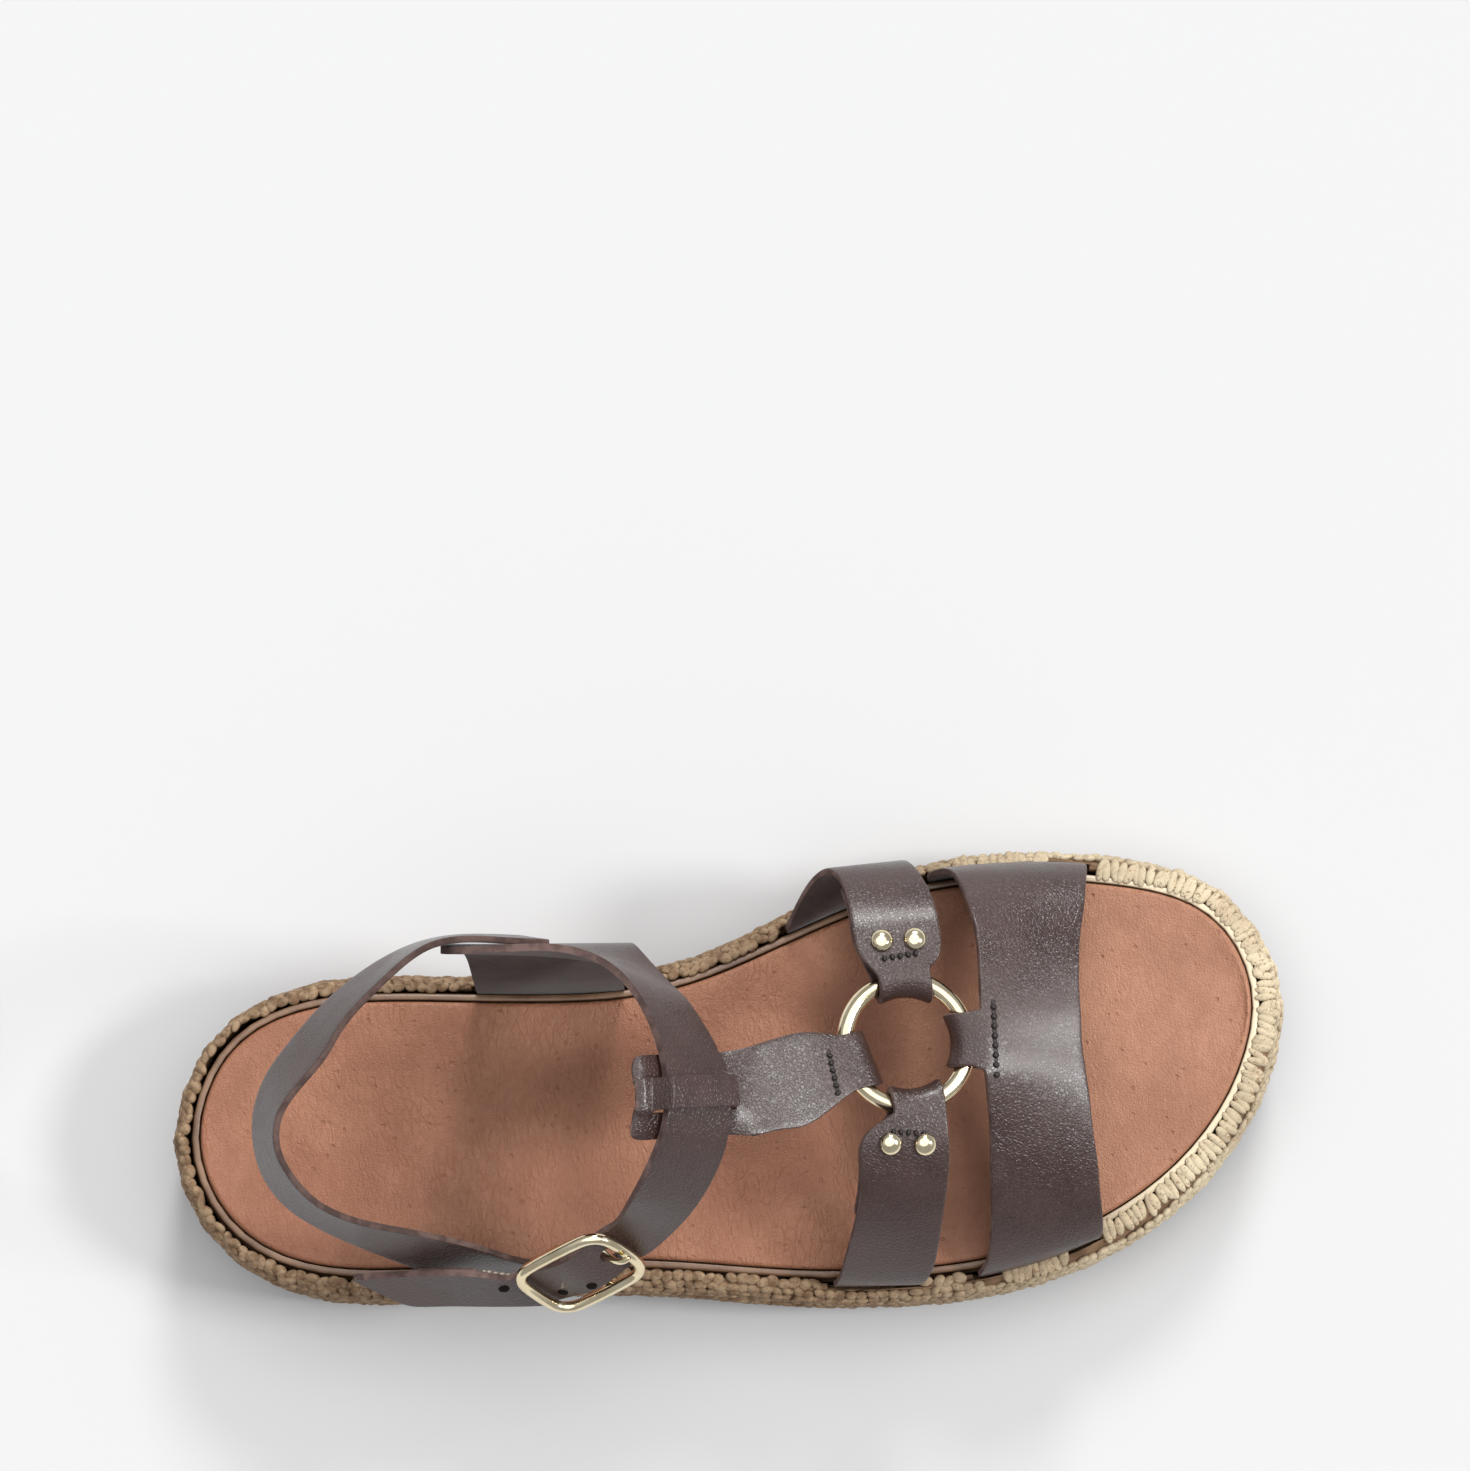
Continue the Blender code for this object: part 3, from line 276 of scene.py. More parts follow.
@dataclass(frozen=True)
class Finish:
    """Colour, gloss and relief of one surface."""

    name: str
    dark: Colour
    light: Colour
    rough: Range
    relief: float = 0.00005
    strength: float = 0.4
    metallic: float = 0.0
    coat: float = 0.0
    sheen: float = 0.0
    specular: float = 0.5
    coat_rough: float = 0.25

    def start(self) -> tuple[Material, Graph, Node, Socket]:
        """New material with the constant values set.

        Returns:
            The material, its graph, its Principled node and its Object coordinates.
        """
        material = bpy.data.materials.new(self.name)
        material.use_nodes = True
        graph = Graph(material.node_tree)
        shader = material.node_tree.nodes["Principled BSDF"]
        shader.inputs["Metallic"].default_value = self.metallic
        shader.inputs["Coat Weight"].default_value = self.coat
        shader.inputs["Coat Roughness"].default_value = self.coat_rough
        shader.inputs["Sheen Weight"].default_value = self.sheen
        shader.inputs["Specular IOR Level"].default_value = self.specular
        place = graph.add("ShaderNodeTexCoord").outputs["Object"]
        return material, graph, shader, place

    def group(self, graph: Graph, tree: bpy.types.NodeTree, place: Socket, scale: float) -> Node:
        """Place a shared group in a material, with its pattern's scale per metre."""
        return graph.add("ShaderNodeGroup", {"Vector": place, "Scale": scale}, node_tree=tree)

    def tone(self, graph: Graph, place: Socket, scale: float) -> Socket:
        """Uneven tone from 0 to 1, at a scale per metre."""
        return self.group(graph, EFFECTS.mottle, place, scale).outputs["Tone"]

    def close(self, graph: Graph, shader: Node, colour: Socket, gloss: Socket,
              height: Socket) -> None:
        """Join colour, roughness and bump to the shader.

        Args:
            graph: the material's graph.
            shader: its Principled node.
            colour: base colour.
            gloss: value from 0 to 1 between the two roughness values.
            height: relief from 0 to 1.
        """
        rough = graph.ramp(gloss, 0.0, 1.0, *self.rough)
        bump = graph.add("ShaderNodeBump", {
            "Height": height, "Strength": self.strength, "Distance": self.relief})
        graph.tree.links.new(colour, shader.inputs["Base Color"])
        graph.tree.links.new(rough, shader.inputs["Roughness"])
        graph.tree.links.new(bump.outputs[0], shader.inputs["Normal"])


@dataclass(frozen=True)
class GrainLeather(Finish):
    """Smooth full grain leather with fine pebbles and painted shade in the lines between them."""

    scale: float = 1100.0
    tone_scale: float = 55.0
    # Painted shade in the creases between the pebbles: its share and its darkness.
    crease_shade_share: float = 0.28
    crease_painted_shade: float = 0.45

    def build(self) -> Material:
        """Make the material.

        Returns:
            The material.
        """
        material, graph, shader, place = self.start()
        grain = self.group(graph, EFFECTS.pebble, place, self.scale)
        tone = self.tone(graph, place, self.tone_scale)
        colour = self.over(graph, graph.blend(tone, self.dark, self.light), place,
                           grain.outputs["Crease"])
        self.close(graph, shader, colour, tone, grain.outputs["Height"])
        return material

    def over(self, graph: Graph, colour: Socket, place: Socket, crease: Socket) -> Socket:
        """Lay painted shade in the lines between the pebbles over the leather's tone."""
        # Painted shade: the creases between the pebbles are darkened.
        share = graph.times(crease, self.crease_shade_share)
        return graph.blend(share, colour, tuple(part * self.crease_painted_shade for part in self.dark))


@dataclass(frozen=True)
class Binding(GrainLeather):
    """Metallic binding of the footbed, pale round the toe."""

    tone_scale: float = 90.0
    toe_colour: Colour = (0.74, 0.62, 0.43)
    toe_limits: Range = (0.060, 0.105)

    def over(self, graph: Graph, colour: Socket, place: Socket, crease: Socket) -> Socket:
        """Lay the pale colour round the toe over the binding's tone, without the painted shade in
        the lines.
        """
        along = graph.add("ShaderNodeSeparateXYZ", {0: place}).outputs["X"]
        return graph.blend(graph.ramp(along, *self.toe_limits), colour, self.toe_colour)


@dataclass(frozen=True)
class FibreSurface(Finish):
    """Cut edge, suede, foam or rubber."""

    scale: float = 1500.0

    def build(self) -> Material:
        """Make the material.

        Returns:
            The material.
        """
        material, graph, shader, place = self.start()
        fibre = self.group(graph, EFFECTS.fibre, place, self.scale)
        total = graph.math("ADD", fibre.outputs["Tone"], fibre.outputs["Height"])
        colour = graph.blend(graph.times(total, 0.5), self.dark, self.light)
        self.close(graph, shader, colour, fibre.outputs["Tone"], fibre.outputs["Height"])
        return material


@dataclass(frozen=True)
class FootbedLeather(Finish):
    """Cognac lining leather: pores, fine folds under the arch with painted shade in their lines,
    lighter at the toes.
    """

    toe_dark: Colour = (0.34, 0.150, 0.086)
    toe_light: Colour = (0.45, 0.215, 0.128)
    toe_limits: Range = (0.02, 0.10)
    tone_scale: float = 38.0
    speck_scale: float = 300.0
    speck_share: float = 0.18
    speck_dark: float = 0.72
    pore_scale: float = 330.0
    pore_limits: Range = (0.10, 0.20)
    pore_share: float = 0.45
    pore_cloud: float = 90.0
    pore_picked: Range = (0.35, 0.75)
    pore_depth: float = 0.8
    fold_stretch: float = 0.40
    fold_scale: float = 620.0
    fold_edge: float = 0.20
    # Painted shade in the fold lines: its share and its darkness.
    fold_shade_share: float = 0.16
    fold_painted_shade: float = 0.60
    fold_height: float = 0.55
    fold_warp: Range = (260.0, 0.0030)
    fold_cloud: float = 70.0
    fold_cloud_range: Range = (0.0, 1.0, 0.35, 1.0)
    fold_heel: Range = (-0.12, -0.05, 0.5, 1.0)
    fold_toe: Range = (0.02, 0.06, 1.0, 0.35)
    grain_scale: float = 1300.0
    grain_height: float = 0.45

    def build(self) -> Material:
        """Make the material.

        Returns:
            The material.
        """
        material, graph, shader, place = self.start()
        along = graph.add("ShaderNodeSeparateXYZ", {0: place}).outputs["X"]
        tone = self.tone(graph, place, self.tone_scale)
        fine = self.tone(graph, place, self.speck_scale)
        colour = graph.blend(
            graph.ramp(along, *self.toe_limits), graph.blend(tone, self.dark, self.light),
            graph.blend(tone, self.toe_dark, self.toe_light))
        colour = graph.blend(graph.times(fine, self.speck_share), colour,
                             self.shade(self.speck_dark))
        dot = self.pores(graph, place)
        colour = graph.blend(graph.times(dot, self.pore_share), colour, self.dark)
        fold, fold_line_shade = self.folds(graph, place, along)
        # Painted shade darkens the lines between the folds.
        colour = graph.blend(graph.times(fold_line_shade, self.fold_shade_share), colour,
                             self.shade(self.fold_painted_shade))
        grain = self.group(graph, EFFECTS.pebble, place, self.grain_scale).outputs["Height"]
        height = graph.math("ADD", graph.times(fold, self.fold_height),
                            graph.times(grain, self.grain_height))
        height = graph.math("SUBTRACT", height, graph.times(dot, self.pore_depth))
        self.close(graph, shader, colour, fine, height)
        return material

    def shade(self, share: float) -> Colour:
        """The dark colour times a share."""
        return tuple(part * share for part in self.dark)

    def pores(self, graph: Graph, place: Socket) -> Socket:
        """Mask of scattered pores.

        Args:
            graph: the material's graph.
            place: Object coordinates.

        Returns:
            The mask.
        """
        cells = graph.add("ShaderNodeTexVoronoi", {"Vector": place, "Scale": self.pore_scale})
        dot = graph.ramp(cells.outputs["Distance"], *self.pore_limits, 1.0, 0.0)
        picked = graph.ramp(self.tone(graph, place, self.pore_cloud), *self.pore_picked)
        return graph.times(dot, picked)

    def folds(self, graph: Graph, place: Socket, along: Socket
              ) -> tuple[Socket, Socket]:
        """Fine folds, strongest under the arch.

        Args:
            graph: the material's graph.
            place: Object coordinates.
            along: place along the shoe.

        Returns:
            Height of the folds, and mask of the painted shade in the lines between them.
        """
        stretch = graph.add("ShaderNodeMapping", {
            "Vector": place, "Scale": (1.0, self.fold_stretch, 1.0)}).outputs[0]
        cells = graph.add("ShaderNodeTexVoronoi", {
            "Vector": graph.warped(stretch, *self.fold_warp, 3.0), "Scale": self.fold_scale},
            feature="DISTANCE_TO_EDGE")
        fold = graph.ramp(cells.outputs["Distance"], 0.0, self.fold_edge)
        arch = graph.times(graph.ramp(along, *self.fold_heel), graph.ramp(along, *self.fold_toe))
        cloud = graph.ramp(self.tone(graph, place, self.fold_cloud), *self.fold_cloud_range)
        arch = graph.times(arch, cloud)
        fold_line_shade = graph.times(graph.math("SUBTRACT", 1.0, fold), arch)
        return graph.times(fold, arch), fold_line_shade


@dataclass(frozen=True)
class JuteYarn(Finish):
    """Natural jute: fibres along each stitch, pale on top, and dark between the plaits with painted
    shade.
    """

    # Paler toward the toe: partly the jute's own bleaching, partly painted light from the toe side.
    bleach_and_painted_light: Colour = (0.84, 0.72, 0.50)
    bleach_and_light_range: Range = (0.015, 0.105, 0.0, 0.85)
    fleck: Colour = (0.24, 0.13, 0.060)
    fleck_scale: float = 1100.0
    fleck_range: Range = (0.54, 0.68, 0.0, 0.75)
    # Painted shade between the plaits: its colour, its range over the crown value, and less of it
    # at the toe.
    gap_painted_shade: Colour = (0.16, 0.095, 0.048)
    gap_shade_range: Range = (0.10, 0.70, 0.80, 0.0)
    gap_shade_toe_range: Range = (0.04, 0.11, 1.0, 0.45)
    strand_stretch: Range = (26.0, 2.2, 1.0)
    strand_range: Range = (0.30, 0.62, 0.55, 1.0)
    tone_scale: float = 420.0
    cloud_scale: float = 60.0
    cloud_range: Range = (0.0, 1.0, 0.6, 1.0)

    def build(self) -> Material:
        """Make the material.

        Returns:
            The material.
        """
        material, graph, shader, place = self.start()
        along = graph.add("ShaderNodeSeparateXYZ", {0: place}).outputs["X"]
        uv = graph.add("ShaderNodeTexCoord").outputs["UV"]
        stretch = graph.add("ShaderNodeMapping", {"Vector": uv, "Scale": self.strand_stretch})
        strand = graph.add("ShaderNodeTexNoise", {
            "Vector": stretch.outputs[0], "Scale": 1.0, "Detail": 4.0, "Roughness": 0.7})
        tone = self.tone(graph, place, self.tone_scale)
        colour = graph.blend(tone, self.dark, self.light)
        cloud = graph.ramp(self.tone(graph, place, self.cloud_scale), *self.cloud_range)
        # Paler toward the toe: partly bleaching, partly painted light from the toe side.
        toe = graph.times(graph.ramp(along, *self.bleach_and_light_range), cloud)
        colour = graph.blend(toe, colour, self.bleach_and_painted_light)
        spot = graph.add("ShaderNodeTexNoise", {
            "Vector": place, "Scale": self.fleck_scale, "Detail": 3.0, "Distortion": 1.5})
        colour = graph.blend(graph.ramp(spot.outputs[0], *self.fleck_range), colour, self.fleck)
        lines = graph.ramp(strand.outputs[0], *self.strand_range)
        grey = graph.add("ShaderNodeCombineColor", {0: lines, 1: lines, 2: lines}).outputs[0]
        colour = graph.blend(1.0, colour, grey, "MULTIPLY")
        # Painted shade: darker where the crown value is low, on the lumps' sides and in the gaps
        # between plaits, less of it at the toe.
        crown = graph.add("ShaderNodeAttribute", attribute_name=CROWN).outputs["Fac"]
        depth = graph.times(graph.ramp(crown, *self.gap_shade_range),
                            graph.ramp(along, *self.gap_shade_toe_range))
        colour = graph.blend(depth, colour, self.gap_painted_shade)
        self.close(graph, shader, colour, tone, strand.outputs[0])
        return material


@dataclass(frozen=True)
class Plating(Finish):
    """Polished plated metal with faint wear."""

    tone_scale: float = 160.0
    wear_scale: float = 2500.0

    def build(self) -> Material:
        """Make the material.

        Returns:
            The material.
        """
        material, graph, shader, place = self.start()
        tone = self.tone(graph, place, self.tone_scale)
        fine = self.group(graph, EFFECTS.fibre, place, self.wear_scale).outputs["Height"]
        colour = graph.blend(tone, self.dark, self.light)
        self.close(graph, shader, colour, tone, fine)
        return material


@dataclass(frozen=True)
class RibbedElastic(Finish):
    """Woven elastic with ribs across its width, darker in their valleys as painted shade."""

    along: Vector = field(default_factory=lambda: Vector((0.93, -0.10, 0.35)))
    pitch: float = 0.0011
    weave_scale: float = 2600.0
    weave_height: float = 0.5

    def build(self) -> Material:
        """Make the material.

        Returns:
            The material.
        """
        material, graph, shader, place = self.start()
        reach = graph.add("ShaderNodeVectorMath", {0: place, 1: self.along},
                          operation="DOT_PRODUCT").outputs["Value"]
        phase = graph.times(reach, 2.0 * math.pi / self.pitch)
        wave = graph.ramp(graph.math("SINE", phase, 0.0), -1.0, 1.0)
        weave = self.group(graph, EFFECTS.fibre, place, self.weave_scale)
        height = graph.math("ADD", wave, graph.times(weave.outputs["Height"], self.weave_height))
        # Darker in the valleys between the ribs: painted shade that follows the ribs' relief.
        colour = graph.blend(wave, self.dark, self.light)
        self.close(graph, shader, colour, weave.outputs["Tone"], height)
        return material


BROWN = GrainLeather("brown_leather", (0.034, 0.014, 0.0105), (0.052, 0.023, 0.0175),
                     (0.30, 0.42), 0.00017, 0.66, coat=0.25, specular=0.60)
# Cut edge: the raw fibres' own colour, with its light value raised as a painted highlight along the
# rim.
BROWN_EDGE_AND_HIGHLIGHT = FibreSurface("brown_cut_edge_and_highlight", (0.050, 0.028, 0.024), (0.20, 0.13, 0.115),
                          (0.75, 0.95), 0.00025, 0.8, specular=0.25)
HEEL_EDGE = FibreSurface("heel_strap_cut_edge", (0.040, 0.024, 0.020), (0.15, 0.095, 0.082),
                         (0.8, 0.95), 0.00025, 0.8, specular=0.2)
BROWN_SUEDE = FibreSurface("brown_suede", (0.030, 0.017, 0.014), (0.075, 0.045, 0.037),
                           (0.85, 1.0), 0.00022, 0.7, sheen=0.25, specular=0.2)
THREAD = FibreSurface("brown_thread", (0.006, 0.0035, 0.003), (0.022, 0.013, 0.011),
                      (0.40, 0.55), 0.00006, 0.5, specular=0.5)
# Painted shade inside the punched holes.
PUNCH_HOLE_SHADE = FibreSurface("punched_hole_shade", (0.006, 0.004, 0.003), (0.014, 0.009, 0.008),
                     (0.85, 0.95), 0.00005, 0.4, specular=0.1)
COGNAC = FootbedLeather("cognac_leather", (0.29, 0.116, 0.062), (0.39, 0.172, 0.096),
                        (0.40, 0.55), 0.00034, 0.75, specular=0.4)
INSOLE_SIDE = FibreSurface("insole_side", (0.22, 0.11, 0.06), (0.36, 0.20, 0.12),
                           (0.7, 0.9), 0.0001, 0.5, specular=0.3)
BRONZE = Binding("bronze_binding", (0.13, 0.066, 0.034), (0.24, 0.135, 0.075),
                 (0.30, 0.46), 0.00008, 0.4, coat=0.25, specular=0.6)
FOAM = FibreSurface("foam_core", (0.09, 0.050, 0.028), (0.15, 0.09, 0.05),
                    (0.85, 0.95), 0.0001, 0.4, specular=0.2)
RUBBER = FibreSurface("brown_rubber", (0.040, 0.026, 0.018), (0.060, 0.040, 0.028),
                      (0.6, 0.75), 0.00008, 0.4, specular=0.4)
JUTE = JuteYarn("natural_jute", (0.17, 0.098, 0.053), (0.42, 0.295, 0.183),
                (0.80, 0.95), 0.0004, 1.0, specular=0.25)
JUTE_CORE = FibreSurface("jute_between_rows", (0.17, 0.100, 0.058), (0.30, 0.190, 0.115),
                         (0.9, 1.0), 0.0002, 0.6, specular=0.1)
GOLD = Plating("pale_gold", (0.80, 0.68, 0.44), (0.90, 0.79, 0.56),
               (0.10, 0.20), 0.00001, 0.15, metallic=1.0)
ELASTIC = RibbedElastic("ribbed_elastic", (0.16, 0.135, 0.105), (0.48, 0.42, 0.34),
                        (0.8, 0.95), 0.0003, 0.8, specular=0.2)


class Finishes:
    """Builds each material when it is first asked for."""

    made: dict[str, Material] = {}

    @classmethod
    def get(cls, finish: Finish) -> Material:
        """Material of a finish, made at the first call."""
        if finish.name not in cls.made:
            cls.made[finish.name] = finish.build()
        return cls.made[finish.name]


def merged_node(node: str) -> Shape:
    """Copy of a node's mesh with its corners merged and its triangles joined in pairs.

    Args:
        node: the node's name.

    Returns:
        The copy.
    """
    builder = bmesh.new()
    builder.from_mesh(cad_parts[node].data)
    bmesh.ops.remove_doubles(builder, verts=builder.verts[:], dist=MERGE)
    bmesh.ops.join_triangles(
        builder, faces=builder.faces[:], angle_face_threshold=math.radians(40),
        angle_shape_threshold=math.radians(65))
    return builder


def round_edges(builder: Shape, sharp: float, radius: float) -> None:
    """Round by a radius the edges that turn by more than an angle in radians."""
    corners = [edge for edge in builder.edges if edge.calc_face_angle(0.0) > sharp]
    bmesh.ops.bevel(
        builder, geom=corners, offset=radius, offset_type="OFFSET", segments=2,
        profile=0.5, affect="EDGES", material=-1, clamp_overlap=True)


def linked(builder: Shape, name: str) -> bpy.types.Object:
    """Turn a bmesh into an object in the scene.

    Args:
        builder: the shape, in world coordinates, freed afterwards.
        name: name of the object and of its mesh.

    Returns:
        The object.
    """
    data = bpy.data.meshes.new(name)
    builder.to_mesh(data)
    builder.free()
    made = bpy.data.objects.new(name, data)
    bpy.context.scene.collection.objects.link(made)
    return made


def finished(builder: Shape, name: str, finishes: list[Finish],
             nodes: tuple[str, ...] = (), smooth_levels: int = 0) -> bpy.types.Object:
    """Turn a bmesh into a piece that rides on the body.

    Args:
        builder: the shape, in world coordinates.
        name: the piece's name.
        finishes: materials by slot number.
        nodes: CAD nodes that the piece stands for.
        smooth_levels: levels of Subdivision Surface.

    Returns:
        The piece.
    """
    piece = linked(builder, name)
    for finish in finishes:
        piece.data.materials.append(Finishes.get(finish))
    piece.data.shade_smooth()
    if smooth_levels:
        surface = piece.modifiers.new("surface", "SUBSURF")
        surface.levels = smooth_levels
        surface.render_levels = smooth_levels
    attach(piece, BODY)
    if nodes:
        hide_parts(*nodes)
    log.info("piece %s", name)
    return piece


def surface_tree(*pieces: bpy.types.Object) -> BVHTree:
    """Tree for ray casts onto finished pieces.

    Args:
        pieces: mesh objects at the origin.

    Returns:
        A tree of all their faces, with modifiers applied.
    """
    graph = bpy.context.evaluated_depsgraph_get()
    builder = bmesh.new()
    for piece in pieces:
        data = bpy.data.meshes.new_from_object(piece.evaluated_get(graph))
        builder.from_mesh(data)
        bpy.data.meshes.remove(data)
    tree = BVHTree.FromBMesh(builder)
    builder.free()
    return tree


@dataclass
class LeatherStraps:
    """The straps: grain outside, rough cut edges, suede on the foot's side."""

    sharp: float = math.radians(52)
    skin: float = 0.0006
    through: float = 0.0036
    opposite: float = -0.3
    rim_round: float = 0.00042
    levels: int = 2
    lay_start: float = -0.066
    lay_end: float = -0.038
    lay_by: float = 0.0024
    foot_middle: Vector = field(default_factory=lambda: Vector((0.040, 0.0, 0.020)))
    ankle_middle: Vector = field(default_factory=lambda: Vector((-0.055, -0.004, 0.055)))
    pieces: dict[str, bpy.types.Object] = field(default_factory=dict)

    def zones(self, builder: Shape, inside: Vector) -> None:
        """Mark each face as grain, edge or suede.

        Args:
            builder: a strap's closed mesh.
            inside: a point on the foot's side of the strap.
        """
        builder.normal_update()
        tree = BVHTree.FromBMesh(builder)
        unseen = set()
        for face in builder.faces:
            face.material_index = Zone.EDGE.value
            start = face.calc_center_median() - face.normal * self.skin
            far = tree.ray_cast(start, -face.normal, self.through)
            if far[0] is not None and far[1].dot(face.normal) < self.opposite:
                unseen.add(face)
        regions = []
        while unseen:
            stack = [unseen.pop()]
            region = []
            while stack:
                face = stack.pop()
                region.append(face)
                for edge in face.edges:
                    for other in edge.link_faces:
                        if other in unseen:
                            unseen.remove(other)
                            stack.append(other)
            regions.append(region)
        regions.sort(key=lambda faces: -sum(face.calc_area() for face in faces))

        def outward(faces: list[bmesh.types.BMFace]) -> float:
            """How much a region faces away from the inside point.

            Args:
                faces: the region.

            Returns:
                Area times the turn outwards, summed.
            """
            return sum(
                face.calc_area() * face.normal.dot(
                    (face.calc_center_median() - inside).normalized()) for face in faces)

        outer = max(regions[:2], key=outward)
        for region in regions[:2]:
            for face in region:
                face.material_index = (Zone.GRAIN if region is outer else Zone.SUEDE).value

    def lay(self, builder: Shape) -> None:
        """Lay the front end of the heel strap against the ankle strap.

        Args:
            builder: the heel strap's mesh.
        """
        for vertex in builder.verts:
            if vertex.co.y > 0.0 and vertex.co.x > self.lay_start:
                share = min(1.0, (vertex.co.x - self.lay_start) / (self.lay_end - self.lay_start))
                vertex.co.y -= self.lay_by * share * share * (3.0 - 2.0 * share)

    def strap(self, node: str, inside: Vector, edge: Finish = BROWN_EDGE_AND_HIGHLIGHT) -> None:
        """Dress one strap.

        Args:
            node: its CAD node.
            inside: a point on the foot's side of it.
            edge: finish of its cut edge.
        """
        builder = merged_node(node)
        if node == "heel_strap":
            self.lay(builder)
        self.zones(builder, inside)
        round_edges(builder, self.sharp, self.rim_round)
        self.pieces[node] = finished(
            builder, node + "_leather", [BROWN, edge, BROWN_SUEDE], (node,), self.levels)

    def build(self) -> None:
        """Dress all the straps."""
        for node in ("toe_strap", "medial_strap", "lateral_strap"):
            self.strap(node, self.foot_middle)
        for node in ("ankle_strap", "t_bar", "elastic_tab"):
            self.strap(node, self.ankle_middle)
        self.strap("heel_strap", self.ankle_middle, HEEL_EDGE)


@dataclass
class Footbed:
    """Insole, binding, foam core and outsole."""

    sharp: float = math.radians(35)
    insole_round: float = 0.0005
    rim_round: float = 0.0004
    core_round: float = 0.0003
    sole_round: float = 0.0005
    side_normal: float = 0.45

    def rounded(self, node: str, finishes: list[Finish], radius: float, levels: int) -> None:
        """Copy of a node with its sharp edges rounded.

        Args:
            node: CAD node.
            finishes: materials; a second one goes to faces that don't face up.
            radius: width of the bevel.
            levels: levels of subdivision.
        """
        builder = merged_node(node)
        round_edges(builder, self.sharp, radius)
        if len(finishes) > 1:
            for face in builder.faces:
                face.material_index = 0 if face.normal.z > self.side_normal else 1
        finished(builder, node + "_finish", finishes, (node,), levels)

    def build(self) -> None:
        """Make the four layers."""
        self.rounded("insole", [COGNAC, INSOLE_SIDE], self.insole_round, 2)
        self.rounded("footbed_rim", [BRONZE], self.rim_round, 1)
        self.rounded("platform", [FOAM], self.core_round, 1)
        self.rounded("outsole", [RUBBER], self.sole_round, 1)


